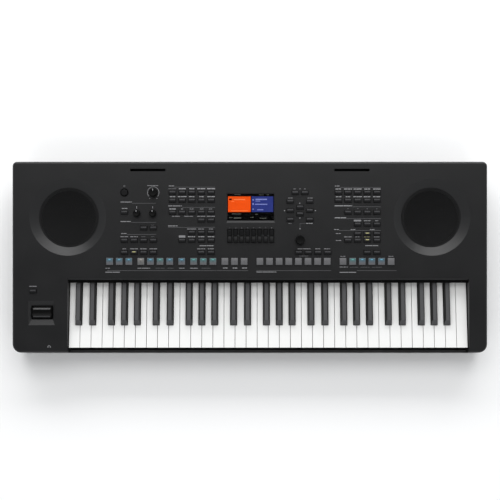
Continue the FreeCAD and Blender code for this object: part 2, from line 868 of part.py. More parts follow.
def make_key_bed():
    """Chassis under the keys with its rod, felts, springs and contact strip."""
    length = ("keys_left", "keys_width")

    def rail(name, y, bottom, depth, height):
        return box(name, (length[0], y, bottom), (length[1], depth, height))

    leg_height = "deck_height - deck_thickness / 2 - floor_top"
    middle_leg = "contact_row + contact_board_width"
    pieces = [
        rail("deck", "bed_front", "deck_height - deck_thickness", "bed_rear - bed_front", "deck_thickness"),
        rail("front_leg", "bed_front", "floor_top", "bed_wall", leg_height),
        rail("middle_leg", middle_leg, "floor_top", "bed_wall", leg_height),
        rail("rear_leg", "bed_rear - bed_wall", "floor_top", "bed_wall", leg_height),
        rail(
            "felt_rail",
            "felt_front - felt_rail_margin",
            "deck_height - deck_thickness / 2",
            "felt_width + 2 * felt_rail_margin",
            "felt_top - felt_thickness - deck_height + deck_thickness / 2",
        ),
        rail(
            "rest_rail",
            "rest_felt_front",
            "deck_height - deck_thickness / 2",
            "rest_felt_width",
            "key_bottom - felt_clearance - felt_thickness - deck_height + deck_thickness / 2",
        ),
    ]
    guide = block_about(
        "guide",
        "keys_left + key_pitch / 2",
        "key_front + guide_setback",
        "deck_height - deck_thickness / 2",
        "guide_width",
        "guide_length",
        "guide_height + deck_thickness / 2",
    )
    guide_places = [(f"{index} * key_pitch", "0", "0") for index in range(WHITE_KEYS)]
    pieces.append(repeat("guides", guide, guide_places))
    bracket = block_about(
        "bracket",
        "keys_left",
        "pivot_y",
        "deck_height - deck_thickness / 2",
        "pivot_bracket_thickness",
        "pivot_bracket_length",
        "pivot_height + pivot_bracket_cover - deck_height + deck_thickness / 2",
    )
    stations = [(f"{index} * octave", "0", "0") for index in range(OCTAVES + 1)]
    stations.append(("keys_width", "0", "0"))
    pieces.append(repeat("brackets", bracket, stations))
    rod_start = ("keys_left - pivot_bracket_thickness", "pivot_y", "pivot_height")
    rod_length = "keys_width + 2 * pivot_bracket_thickness"
    rod_bore = cylinder("rod_bore", rod_start, "pivot_rod_radius + running_clearance", rod_length, "x")
    publish(cut("chassis", fuse("chassis_blank", pieces), rod_bore), "key_chassis")
    publish(cylinder("rod", rod_start, "pivot_rod_radius", rod_length, "x"), "key_pivot_rod")

    felts = [
        rail("press_felt", "felt_front", "felt_top - felt_thickness", "felt_width", "felt_thickness"),
        rail(
            "rest_felt",
            "rest_felt_front",
            "key_bottom - felt_clearance - felt_thickness",
            "rest_felt_width",
            "felt_thickness",
        ),
    ]
    publish(group("felts", felts), "key_felts")

    contact_front = "contact_row - contact_board_width / 2"
    board = rail("contact_sheet", contact_front, "deck_height", "contact_board_width", "board_thickness")
    publish(board, "key_contact_board")
    strip = rail(
        "contact_strip",
        "contact_row - contact_strip_width / 2",
        "deck_height + board_thickness",
        "contact_strip_width",
        "contact_strip_thickness",
    )
    dome = cone(
        "dome",
        ("0", "contact_row", "contact_top - contact_strip_thickness / 2"),
        "contact_dome_radius",
        "contact_dome_top_radius",
        "contact_dome_height + contact_strip_thickness / 2",
    )
    domes = repeat("domes", dome, [(x, "0", "0") for x in key_places()])
    publish(fuse("contact_strip_with_domes", [strip, domes]), "key_contact_rubber")

    spring_height = "key_bottom - seat_gap - deck_height"
    coil = cylinder("coil_outside", ("0", "spring_y", "deck_height"), "spring_radius", spring_height)
    hollow = cylinder("coil_inside", ("0", "spring_y", "deck_height"), "spring_bore", spring_height)
    springs = repeat("coils", cut("coil", coil, hollow), [(x, "0", "0") for x in key_places()])
    publish(springs, "key_springs")


SCREW_PLACES = [
    (f"{side} * ({x})", y)
    for side in (-1, 1)
    for x, y in (
        ("body_width / 2 - screw_side_inset", "rear_edge - screw_rear_inset"),
        ("body_width / 2 - screw_side_inset", "front_edge + screw_front_inset"),
        ("screw_rear_x", "rear_edge - screw_rear_inset"),
        ("screw_middle_x", "screw_middle_y"),
    )
]
OVERSHOOT = "case_wall"


def corner_places(x, y, width, depth, inset):
    """Formulas for the four corners of a rectangle, drawn in by an inset."""
    return [
        (f"{x} + {side} * (({width}) / 2 - {inset})", f"{y} + {end} * (({depth}) / 2 - {inset})")
        for side in (-1, 1)
        for end in (-1, 1)
    ]


# Boards in the case: middle in x and y, width and depth of each.
MAIN_BOARD = ("main_board_x", "main_board_y", "main_board_width", "main_board_depth")
AMP_BOARD = ("amp_board_x", "amp_board_y", "amp_board_width", "amp_board_depth")
JACK_BOARD = (
    "(jack_row_x + usb_x + usb_pitch) / 2",
    "rear_edge - 2 * case_wall - jack_board_depth / 2",
    "usb_x + usb_pitch - jack_row_x + 2 * jack_pitch",
    "jack_board_depth",
)


def make_lower_case():
    """Tray with the front lip, board stand-offs and screw holes."""
    outer = case_block("tray_outside", "0", "foot_height", "parting_height - foot_height")
    soften(outer, FreeCAD.Vector(0, 0, -1), "edge_radius")
    inner = case_block("tray_inside", "case_wall", "floor_top", "parting_height - foot_height")
    lip = new_body("front_lip")
    add_block(
        lip,
        "lip_bar",
        ("keys_left - key_side_clearance", "front_edge", "parting_height - lip_thickness"),
        (
            "keys_width + 2 * key_side_clearance",
            "lip_thickness",
            "lip_height - parting_height + lip_thickness",
        ),
    )
    soften(lip, FreeCAD.Vector(0, 0, 1), "lip_radius")
    pieces = [cut("tray", outer, inner), lip]
    root = "floor_top - floor_thickness / 2"
    jack_seat = "jack_board_top - board_thickness"
    for board, seat in ((MAIN_BOARD, "board_seat"), (AMP_BOARD, "board_seat"), (JACK_BOARD, jack_seat)):
        for x, y in corner_places(*board, "standoff_inset"):
            pieces.append(cylinder("standoff", (x, y, root), "standoff_radius", f"{seat} - ({root})"))
    hole = cylinder(
        "floor_hole",
        ("0", "0", "0"),
        "screw_radius + screw_hole_clearance",
        "foot_height + 2 * floor_thickness",
    )
    holes = repeat("floor_holes", hole, [(x, y, "0") for x, y in SCREW_PLACES])
    publish(cut("tray_drilled", fuse("tray_blank", pieces), holes), "lower_case")


def make_feet_and_screws():
    """Rubber feet and the screws that close the case."""
    foot = cylinder("foot", ("0", "0", "0"), "foot_radius", "foot_height")
    places = [
        (f"{side} * foot_spacing", f"{end} * foot_depth_spacing / 2", "0")
        for side in (-1, 0, 1)
        for end in (-1, 1)
    ]
    publish(repeat("feet", foot, places), "rubber_feet")
    head_bottom = ("0", "0", "foot_height - screw_head_height")
    head = cylinder("screw_head", head_bottom, "screw_head_radius", "screw_head_height")
    shank = cylinder("screw_shank", head_bottom, "screw_radius", "screw_length + screw_head_height")
    screw = fuse("screw", [head, shank])
    publish(repeat("screws", screw, [(x, y, "0") for x, y in SCREW_PLACES]), "case_screws")


def panel_height(y):
    """Formula for the panel's height above the table at a y."""
    return f"panel_middle + ({y}) * tan(panel_slope)"


def column(first, index):
    """Formula for a column of buttons, counted from a block's first column."""
    return f"{first} + {index} * button_pitch"


def row_of(first, columns, row):
    """Places of the buttons of one row of a block."""
    return [(column(first, index), row) for index in columns]


BUTTON_GROUPS = {
    "transpose_buttons": row_of("left_column", [0], "third_row")
    + row_of("left_column", [2, 3], "transpose_row"),
    "tempo_buttons": row_of("left_column", range(4), "function_lower_row")
    + row_of("left_column", range(4), "bottom_row"),
    "style_buttons": row_of("style_column", range(5), "top_row")
    + row_of("style_column", range(5), "second_row"),
    "song_buttons": row_of("style_column", range(5), "third_row")
    + row_of("style_column", [3, 4], "song_lower_row"),
    "function_buttons": row_of("style_column", [2, 3, 4], "function_upper_row")
    + row_of("style_column", [1, 2, 3, 4], "function_lower_row")
    + row_of("style_column", [3, 4], "bottom_row"),
    "page_buttons": [
        ("cursor_column - page_reach", "page_upper_row"),
        ("cursor_column + page_reach", "page_upper_row"),
        ("cursor_column - cursor_reach", "page_middle_row"),
        ("cursor_column + cursor_reach", "page_middle_row"),
        ("cursor_column - cursor_reach", "page_lower_row"),
        ("cursor_column + cursor_reach", "page_lower_row"),
    ],
    "cursor_buttons": [
        ("cursor_column", "cursor_row + cursor_rise"),
        ("cursor_column", "cursor_row - cursor_rise"),
        ("cursor_column - cursor_reach", "cursor_row"),
        ("cursor_column + cursor_reach", "cursor_row"),
    ],
    "bank_buttons": row_of("bank_column", range(4), "bottom_row"),
    "voice_buttons": row_of("voice_column", range(5), "top_row")
    + row_of("voice_column", range(5), "second_row"),
    "part_buttons": row_of("voice_column", [1, 2, 3, 4], "third_row")
    + row_of("voice_column", [2, 3, 4], "part_lower_row"),
    "effect_buttons": row_of("voice_column", [2, 3, 4], "effect_row")
    + row_of("voice_column", [1, 2, 3, 4], "function_lower_row"),
    "octave_buttons": row_of("voice_column", [3, 4], "bottom_row"),
    "cheek_button": [("cheek_button_x", "cheek_button_row")],
}


def pad_places():
    """Places of the 28 pads of the lower row, sorted into their three sections."""
    sections = {"style_pads": (3, 4, 1, 3, 3), "registration_pads": (8,), "one_touch_pads": (6,)}
    places = {}
    count = 0
    group_breaks = 0
    for section_breaks, (section, clusters) in enumerate(sections.items()):
        places[section] = []
        for number, pads in enumerate(clusters):
            group_breaks += 1 if number else 0
            for _ in range(pads):
                x = f"pad_row_start + {count} * pad_pitch + {group_breaks} * pad_group_gap"
                places[section].append((f"{x} + {section_breaks} * pad_section_gap", "pad_row"))
                count += 1
    return places


PAD_GROUPS = pad_places()
POWER_PLACE = (column("left_column", 0), "top_row")
KNOBS = {
    "volume_knob": (column("left_column", 3), "top_row", "volume_knob_radius", "knob_height"),
    "live_knob_left": ("live_knob_x", "live_knob_row", "live_knob_radius", "knob_height"),
    "live_knob_right": (
        "live_knob_x + live_knob_pitch",
        "live_knob_row",
        "live_knob_radius",
        "knob_height",
    ),
    "data_dial": ("dial_x", "dial_row", "dial_radius", "dial_height"),
}
ROCKER_PLACES = [
    (f"rocker_middle_x + {index - (ROCKERS - 1) / 2} * rocker_pitch", "rocker_row")
    for index in range(ROCKERS)
]
SPEAKER_PLACES = [(f"{side} * speaker_spacing / 2", "speaker_row") for side in (-1, 1)]


def at_panel(places):
    """Panel places as three formulas."""
    return [(x, row, "0") for x, row in places]


def button(name, width, depth, rise):
    """Rectangular button: cap, retaining flange and stem, centred on its place."""
    body = new_body(name)
    add_block(
        body,
        f"{name}_cap",
        (f"-({width}) / 2", f"-({depth}) / 2", "flange_top - button_flange_thickness"),
        (width, depth, f"{rise} - (flange_top) + button_flange_thickness"),
    )
    flange_width = f"{width} + 2 * button_flange"
    flange_depth = f"{depth} + 2 * button_flange"
    add_block(
        body,
        f"{name}_flange",
        (f"-({flange_width}) / 2", f"-({flange_depth}) / 2", "flange_top - button_flange_thickness"),
        (flange_width, flange_depth, "button_flange_thickness"),
    )
    add_block(
        body,
        f"{name}_stem",
        ("-stem_width / 2", "-stem_width / 2", "stem_bottom"),
        ("stem_width", "stem_width", "flange_top - (stem_bottom) - button_flange_thickness / 2"),
    )
    return soften(body, FreeCAD.Vector(0, 0, 1), "button_radius")


def power_button():
    """Round button in its own shallow dish."""
    body = new_body("power")
    low = "flange_top - button_flange_thickness"
    add_bar(body, "power_cap", ("0", "0", low), "power_button_radius", f"button_rise - ({low})")
    flange_radius = "power_button_radius + button_flange"
    add_bar(body, "power_flange", ("0", "0", low), flange_radius, "button_flange_thickness")
    stem_height = "flange_top - (stem_bottom) - button_flange_thickness / 2"
    add_bar(body, "power_stem", ("0", "0", "stem_bottom"), "stem_width / 2", stem_height)
    return soften(body, FreeCAD.Vector(0, 0, 1), "button_radius")


def make_buttons():
    """All push buttons and pads."""
    small = button("small_button", "button_width", "button_depth", "button_rise")
    for label, places in BUTTON_GROUPS.items():
        publish(on_panel(repeat(f"set_of_{label}", small, at_panel(places))), label)
    pad = button("square_pad", "pad_width", "pad_depth", "pad_rise")
    for label, places in PAD_GROUPS.items():
        publish(on_panel(repeat(f"set_of_{label}", pad, at_panel(places))), label)
    publish(on_panel(repeat("set_of_power", power_button(), at_panel([POWER_PLACE]))), "power_button")


def make_knobs():
    """Turning knobs on their shafts, and the pots and encoder under them."""
    shaft_bottom = "-panel_board_depth + pot_height + seat_gap"
    for label, (x, row, radius, height) in KNOBS.items():
        body = new_body(f"{label}_body")
        cap = body.newObject("PartDesign::AdditiveCone", f"{label}_cap")
        bind(cap, Radius1=radius, Radius2=f"{radius} - knob_crown_taper", Height=height)
        place(cap, ("0", "0", "knob_gap"))
        shaft_height = f"{height} / 2 + knob_gap - ({shaft_bottom})"
        add_bar(body, f"{label}_shaft", ("0", "0", shaft_bottom), "shaft_radius", shaft_height)
        soften(body, FreeCAD.Vector(0, 0, 1), "knob_edge_radius")
        publish(on_panel(repeat(f"{label}_place", body, at_panel([(x, row)]))), label)
    pot = block_about("pot", "0", "0", "-panel_board_depth", "pot_width", "pot_width", "pot_height")
    places = [(x, row, "0") for x, row, _, _ in KNOBS.values()]
    publish(on_panel(repeat("pots", pot, places)), "rotary_pots")


def outline_sketch(body, name, points):
    """Closed outline on the body's YZ plane through corners given as formulas."""
    sketch = body.newObject("Sketcher::SketchObject", name)
    sketch.AttachmentSupport = (origin_plane(body, "YZ_Plane"), [""])
    sketch.MapMode = "FlatFace"
    corners = [FreeCAD.Vector(size_of(y), size_of(z), 0) for y, z in points]
    for index in range(len(corners)):
        sketch.addGeometry(Part.LineSegment(corners[index - 1], corners[index]))
    for index, (y, z) in enumerate(points):
        following = (index + 1) % len(points)
        sketch.addConstraint(Sketcher.Constraint("Coincident", index, 2, following, 1))
        if y == "0":
            sketch.addConstraint(Sketcher.Constraint("PointOnObject", index, 2, -2))
        else:
            distance = Sketcher.Constraint("DistanceX", -1, 1, index, 2, corners[index].x)
            sketch.renameConstraint(sketch.addConstraint(distance), f"across_{index}")
            sketch.setExpression(f"Constraints.across_{index}", formula(y))
        rise = Sketcher.Constraint("DistanceY", -1, 1, index, 2, corners[index].y)
        sketch.renameConstraint(sketch.addConstraint(rise), f"up_{index}")
        sketch.setExpression(f"Constraints.up_{index}", formula(z))
    return sketch


def make_rockers():
    """Eight rockers under the display on one rod."""
    body = new_body("rocker")
    half = "rocker_length / 2"
    profile = outline_sketch(
        body,
        "rocker_profile",
        [
            (f"-{half}", "-rocker_foot_depth"),
            (half, "-rocker_foot_depth"),
            (half, "rocker_rise"),
            ("0", "rocker_valley"),
            (f"-{half}", "rocker_rise"),
        ],
    )
    pad = body.newObject("PartDesign::Pad", "rocker_pad")
    pad.Profile = profile
    pad.Midplane = True
    bind(pad, Length="rocker_width")
    add_bar(
        body,
        "rocker_bore",
        ("-rocker_width", "0", "-rocker_axis_depth"),
        "rocker_rod_radius + running_clearance",
        "2 * rocker_width",
        "Subtractive",
        "x",
    )
    publish(on_panel(repeat("set_of_rockers", body, at_panel(ROCKER_PLACES))), "display_rockers")
    rod_length = f"{ROCKERS} * rocker_pitch + 2 * rocker_lug_width"
    rod = cylinder(
        "rocker_bar",
        (f"rocker_middle_x - ({rod_length}) / 2", "rocker_row", "-rocker_axis_depth"),
        "rocker_rod_radius",
        rod_length,
        "x",
    )
    publish(on_panel(group("rocker_bar_place", [rod])), "rocker_rod")


# Boards behind the panel: left end, right end, front row and rear row of each.
PANEL_BOARDS = {
    "left": ("-panel_board_edge", "left_board_end", "panel_board_front", "panel_board_rear"),
    "right": ("right_board_start", "panel_board_edge", "panel_board_front", "panel_board_rear"),
    "centre": ("centre_board_start", "centre_board_end", "centre_board_front", "centre_board_rear"),
    "pads": (
        "-pad_board_edge",
        "pad_board_edge",
        "pad_row - pad_board_width / 2",
        "pad_row + pad_board_width / 2",
    ),
    "cheek": (
        "cheek_button_x - pad_board_width",
        "cheek_button_x + pad_board_width",
        "cheek_button_row - pad_board_width / 2",
        "cheek_button_row + pad_board_width / 2",
    ),
}
REST_SLOT_Y = "rest_slot_row * cos(panel_slope)"


def make_panel_boards():
    """Circuit boards and rubber switch mats behind the panel."""
    boards = []
    mats = []
    for name, (left, right, front, rear) in PANEL_BOARDS.items():
        width = f"{right} - ({left})"
        depth = f"{rear} - ({front})"
        boards.append(
            box(f"{name}_board", (left, front, "panel_board_bottom"), (width, depth, "board_thickness"))
        )
        mats.append(
            box(
                f"{name}_mat",
                (f"{left} + mat_side_margin", f"{front} + mat_end_margin", "-panel_board_depth"),
                (f"{width} - 2 * mat_side_margin", f"{depth} - 2 * mat_end_margin", "mat_thickness"),
            )
        )
    publish(on_panel(group("boards", boards)), "panel_boards")
    window = block_about(
        "pot_window",
        "0",
        "0",
        "-panel_board_depth - mat_thickness",
        "pot_width + 2 * seat_gap",
        "pot_width + 2 * seat_gap",
        "3 * mat_thickness",
    )
    windows = repeat("pot_windows", window, [(x, row, "0") for x, row, _, _ in KNOBS.values()])
    publish(on_panel(cut("mats_cut", group("mats", mats), windows)), "switch_mats")


def board_posts():
    """Posts from the panel down to the boards behind it."""
    places = []
    for left, right, front, rear in PANEL_BOARDS.values():
        for x in (f"{left} + board_post_inset", f"{right} - board_post_inset"):
            for row in (f"{front} + board_post_inset", f"{rear} - board_post_inset"):
                places.append((x, row, "0"))
    post = cylinder(
        "board_post",
        ("0", "0", "-panel_board_depth"),
        "board_post_radius",
        "panel_board_depth - case_wall / 2",
    )
    return repeat("board_posts", post, places)


def panel_additions():
    """What the panel carries on its underside, in panel coordinates."""
    dish = cone(
        "dish_shell",
        ("0", "0", "dish_ring"),
        "dish_floor_radius + case_wall",
        "dish_radius + case_wall",
        "-(dish_ring) - case_wall / 2",
    )
    wheel_depth = "wheel_slot_length + wheel_ramp_front + wheel_ramp_rear + 2 * case_wall"
    wheel_middle = "wheel_row + (wheel_ramp_rear - wheel_ramp_front) / 2"
    wheel_width = "wheel_ramp_width + 2 * case_wall"
    wheel_block = block_about(
        "wheel_block",
        "wheel_x",
        wheel_middle,
        "wheel_seat",
        wheel_width,
        wheel_depth,
        "-(wheel_seat) - case_wall / 2",
    )
    lug_x = f"({ROCKERS} * rocker_pitch + rocker_lug_width) / 2"
    lug_height = "rocker_axis_depth + 2 * rocker_rod_radius - case_wall / 2"
    lugs = [
        block_about(
            f"rocker_lug_{index}",
            f"rocker_middle_x + {side} * ({lug_x})",
            "rocker_row",
            "-rocker_axis_depth - 2 * rocker_rod_radius",
            "rocker_lug_width",
            "6 * rocker_rod_radius",
            lug_height,
        )
        for index, side in enumerate((-1, 1))
    ]
    dishes = repeat("dish_shells", dish, at_panel(SPEAKER_PLACES))
    return on_panel(group("panel_underside", [dishes, wheel_block, board_posts(), *lugs]))


def panel_cuts():
    """Every hole and recess of the panel, in panel coordinates."""
    through = "-dish_depth - 2 * case_wall"
    dish = fuse(
        "dish_cut",
        [
            cone("dish_funnel", ("0", "0", "dish_floor"), "dish_floor_radius", "dish_radius", "dish_depth"),
            cylinder("dish_hole", ("0", "0", through), "dish_opening", f"-({through}) - case_wall"),
        ],
    )
    hole_bottom = "-2 * case_wall"
    hole_height = "3 * case_wall"

    def hole(name, width, depth, end_clearance="button_clearance"):
        return block_about(
            name,
            "0",
            "0",
            hole_bottom,
            f"{width} + 2 * button_clearance",
            f"{depth} + 2 * {end_clearance}",
            hole_height,
        )

    small_places = [spot for places in BUTTON_GROUPS.values() for spot in places]
    pad_spots = [spot for places in PAD_GROUPS.values() for spot in places]
    shaft = cylinder("shaft_hole", ("0", "0", hole_bottom), "shaft_radius + shaft_clearance", hole_height)
    power = fuse(
        "power_cut",
        [
            cone(
                "power_dish",
                ("0", "0", "-power_dish_depth"),
                "power_button_radius + button_clearance",
                "power_dish_radius",
                "power_dish_depth",
            ),
            cylinder(
                "power_hole",
                ("0", "0", hole_bottom),
                "power_button_radius + button_clearance",
                "2 * case_wall",
            ),
        ],
    )
    half_slot = "wheel_slot_length / 2"
    wheel_floor = (
        "wheel_slot_width",
        f"wheel_row - {half_slot}",
        f"wheel_row + {half_slot}",
    )
    wheel_mouth = (
        "wheel_ramp_width",
        f"wheel_row - {half_slot} - wheel_ramp_front",
        f"wheel_row + {half_slot} + wheel_ramp_rear",
    )
    wheel = fuse(
        "wheel_cut",
        [
            tapered_well(
                "wheel_ramp",
                "wheel_x",
                wheel_floor,
                wheel_mouth,
                "-wheel_recess",
                "wheel_recess",
            ),
            block_about(
                "wheel_slot",
                "wheel_x",
                "wheel_row",
                "wheel_seat - wheel_floor",
                "wheel_slot_width",
                "wheel_slot_length",
                "wheel_recess + wheel_floor",
            ),
        ],
    )
    half_glass = "display_depth / 2"
    glass_edge = ("display_width", f"display_row - {half_glass}", f"display_row + {half_glass}")
    glass_mouth = (
        "display_width + 2 * display_bevel",
        f"display_row - {half_glass} - display_front_bevel",
        f"display_row + {half_glass} + display_bevel",
    )
    display = fuse(
        "display_cut",
        [
            tapered_well(
                "display_funnel",
                "display_x",
                glass_edge,
                glass_mouth,
                "-display_recess",
                "display_recess",
            ),
            block_about(
                "display_hole",
                "display_x",
                "display_row",
                hole_bottom,
                "display_width",
                "display_depth",
                "2 * case_wall",
            ),
        ],
    )
    rod_length = f"{ROCKERS} * rocker_pitch + 4 * rocker_lug_width"
    rod_bore = cylinder(
        "rocker_rod_bore",
        (f"rocker_middle_x - ({rod_length}) / 2", "rocker_row", "-rocker_axis_depth"),
        "rocker_rod_radius + running_clearance",
        rod_length,
        "x",
    )
    rockers = repeat(
        "rocker_slots",
        hole("rocker_slot", "rocker_width", "rocker_length", "rocker_end_clearance"),
        at_panel(ROCKER_PLACES),
    )
    pieces = [
        repeat("dish_cuts", dish, at_panel(SPEAKER_PLACES)),
        repeat("button_holes", hole("button_hole", "button_width", "button_depth"), at_panel(small_places)),
        repeat("pad_holes", hole("pad_hole", "pad_width", "pad_depth"), at_panel(pad_spots)),
        repeat("shaft_holes", shaft, [(x, row, "0") for x, row, _, _ in KNOBS.values()]),
        repeat("power_holes", power, at_panel([POWER_PLACE])),
        wheel,
        display,
        fuse("rocker_cut", [rockers, rod_bore]),
    ]
    return on_panel(group("panel_openings", pieces))


def socket_places():
    """Middles of the round sockets of the rear: four jacks, one small jack and the power inlet."""
    return [f"jack_row_x + {index} * jack_pitch" for index in range(ROUND_SOCKETS)]


def make_upper_case():
    """Shell with the key well between its cheeks, posts, dishes and every opening."""
    normal = FreeCAD.Rotation(X_AXIS, DIMENSIONS["panel_slope"]).multVec(FreeCAD.Vector(0, 0, 1))
    rough_height = f"panel_rear_height - parting_height + {OVERSHOOT}"
    outer = case_block("shell_outside", "0", "parting_height", rough_height)
    slope_cut(outer, "0")
    soften(outer, normal, "edge_radius")
    inner = case_block("shell_inside", "case_wall", f"parting_height - {OVERSHOOT}", "panel_rear_height")
    slope_cut(inner, "case_wall")
    well_left = "keys_left - key_side_clearance"
    well_width = "keys_width + 2 * key_side_clearance"
    low = f"parting_height - 2 * {OVERSHOOT}"
    walls = box(
        "well_walls",
        (f"{well_left} - case_wall", f"front_edge - {OVERSHOOT}", low),
        (f"{well_width} + 2 * case_wall", f"key_well_depth + case_wall + {OVERSHOOT}", "panel_rear_height"),
    )
    shell = cut("shell", outer, cut("cavity", inner, walls))
    well = box(
        "key_well",
        (well_left, f"front_edge - {OVERSHOOT}", low),
        (well_width, f"key_well_depth + {OVERSHOOT}", "panel_rear_height"),
    )
    passage = box(
        "key_passage",
        (well_left, f"brow_y - {OVERSHOOT}", low),
        (well_width, f"case_wall + 2 * {OVERSHOOT}", f"black_top + brow_clearance - ({low})"),
    )
    opened = cut("shell_opened", shell, fuse("well_cut", [well, passage]))
    rounded = round_brow(opened)

    posts = [
        cylinder(
            f"screw_post_{index}",
            (x, y, "floor_top"),
            "screw_post_radius",
            f"{panel_height(y)} - case_wall / 2 - floor_top",
        )
        for index, (x, y) in enumerate(SCREW_PLACES)
    ]
    slot_top = panel_height(REST_SLOT_Y)
    sockets = [
        block_about(
            f"rest_socket_{index}",
            f"{side} * rest_slot_spacing / 2",
            REST_SLOT_Y,
            f"{slot_top} - rest_socket_height - rest_socket_wall",
            "rest_slot_width + 2 * rest_socket_wall",
            "rest_slot_depth + 2 * rest_socket_wall",
            "rest_socket_height + rest_socket_wall - case_wall / 2",
        )
        for index, side in enumerate((-1, 1))
    ]
    blank = fuse("shell_blank", [rounded, panel_additions(), *posts, *sockets])

    slots = [
        block_about(
            f"rest_slot_{index}",
            f"{side} * rest_slot_spacing / 2",
            REST_SLOT_Y,
            f"{slot_top} - rest_socket_height",
            "rest_slot_width",
            "rest_slot_depth",
            "2 * rest_socket_height",
        )
        for index, side in enumerate((-1, 1))
    ]
    pilot = cylinder(
        "post_pilot",
        ("0", "0", "0"),
        "screw_radius + screw_hole_clearance",
        "foot_height + screw_length + floor_thickness",
    )
    pilots = repeat("post_pilots", pilot, [(x, y, "0") for x, y in SCREW_PLACES])
    opening = "jack_size + 2 * jack_clearance"
    jack_holes = [
        block_about(
            f"jack_hole_{index}",
            x,
            "rear_edge",
            f"jack_height - ({opening}) / 2",
            opening,
            "4 * case_wall",
            opening,
        )
        for index, x in enumerate(socket_places())
    ]
    usb_holes = [
        block_about(
            f"usb_hole_{index}",
            f"usb_x + {index} * usb_pitch",
            "rear_edge",
            "jack_board_top - jack_clearance",
            "usb_width + 2 * jack_clearance",
            "4 * case_wall",
            "usb_height + 2 * jack_clearance",
        )
        for index in range(USB_SOCKETS)
    ]
    phones_hole = block_about(
        "phones_hole",
        "phones_x",
        "front_edge",
        f"phones_height - ({opening}) / 2",
        opening,
        "4 * case_wall",
        opening,
    )
    world_cuts = group("case_openings", [*slots, pilots, *jack_holes, *usb_holes, phones_hole])
    trimmed = cut("shell_trimmed", blank, world_cuts)
    publish(cut("shell_finished", trimmed, panel_cuts()), "upper_case")


def round_brow(opened):
    """Round the panel's edge above the keys."""
    body = new_body("shell_with_brow")
    body.BaseFeature = opened
    DOCUMENT.recompute()
    brow = size_of("brow_y")
    base = body.Tip
    edges = []
    for index, edge in enumerate(base.Shape.Edges, start=1):
        bounds = edge.BoundBox
        on_brow = max(abs(bounds.YMin - brow), abs(bounds.YMax - brow)) < TOLERANCE
        if on_brow and bounds.ZLength < TOLERANCE:
            edges.append((edge.CenterOfMass.z, f"Edge{index}"))
    rounding = body.newObject("PartDesign::Fillet", "brow_rounding")
    rounding.Base = (base, [max(edges)[1]])
    bind(rounding, Radius="brow_radius")
    body.Tip = rounding
    return body


def make_speakers():
    """Grilles, baskets, cones and magnets of both speakers."""
    grille_radius = "dish_floor_radius - grille_clearance"
    grille = cylinder("grille", ("0", "0", "dish_floor"), grille_radius, "grille_thickness")
    flange_low = "dish_ring - basket_flange_thickness"
    rim = "dish_opening + basket_flange_width - basket_wall"
    frame = fuse(
        "basket_outside",
        [
            cylinder("basket_flange", ("0", "0", flange_low), rim, "basket_flange_thickness"),
            cone(
                "basket_bowl",
                ("0", "0", "basket_bottom"),
                "basket_base_radius",
                "dish_opening",
                "basket_depth",
            ),
        ],
    )
    hollow = cone(
        "basket_hollow",
        ("0", "0", "basket_bottom + basket_wall"),
        "basket_base_radius - basket_wall",
        "dish_opening - basket_wall",
        "basket_depth - basket_wall",
    )
    paper = cut(
        "paper_cone",
        cone(
            "paper_outside",
            ("0", "0", f"{flange_low} - cone_depth"),
            "cone_neck_radius",
            "cone_seat_radius",
            "cone_depth",
        ),
        cone(
            "paper_inside",
            ("0", "0", f"{flange_low} - cone_depth + cone_thickness"),
            "cone_neck_radius - cone_thickness",
            "cone_seat_radius - cone_thickness",
            "cone_depth - cone_thickness",
        ),
    )
    magnet_base = ("0", "0", "basket_bottom - magnet_height")
    magnet = cylinder("magnet", magnet_base, "magnet_radius", "magnet_height")
    places = at_panel(SPEAKER_PLACES)
    publish(on_panel(repeat("grilles", grille, places)), "speaker_grilles")
    publish(on_panel(repeat("baskets", cut("basket", frame, hollow), places)), "speaker_baskets")
    publish(on_panel(repeat("paper_cones", paper, places)), "speaker_cones")
    publish(on_panel(repeat("magnets", magnet, places)), "speaker_magnets")


def make_display():
    """Clear window behind its opening and the display module behind that."""
    window = block_about(
        "window",
        "display_x",
        "display_row",
        "window_bottom",
        "display_width + 2 * window_margin",
        "display_depth + 2 * window_margin",
        "window_thickness",
    )
    module = block_about(
        "module",
        "display_x",
        "display_row",
        "window_bottom - lcd_thickness",
        "display_width + 2 * lcd_margin",
        "display_depth + 2 * lcd_margin",
        "lcd_thickness",
    )
    publish(on_panel(group("window_place", [window])), "display_window")
    publish(on_panel(group("module_place", [module])), "lcd_module")


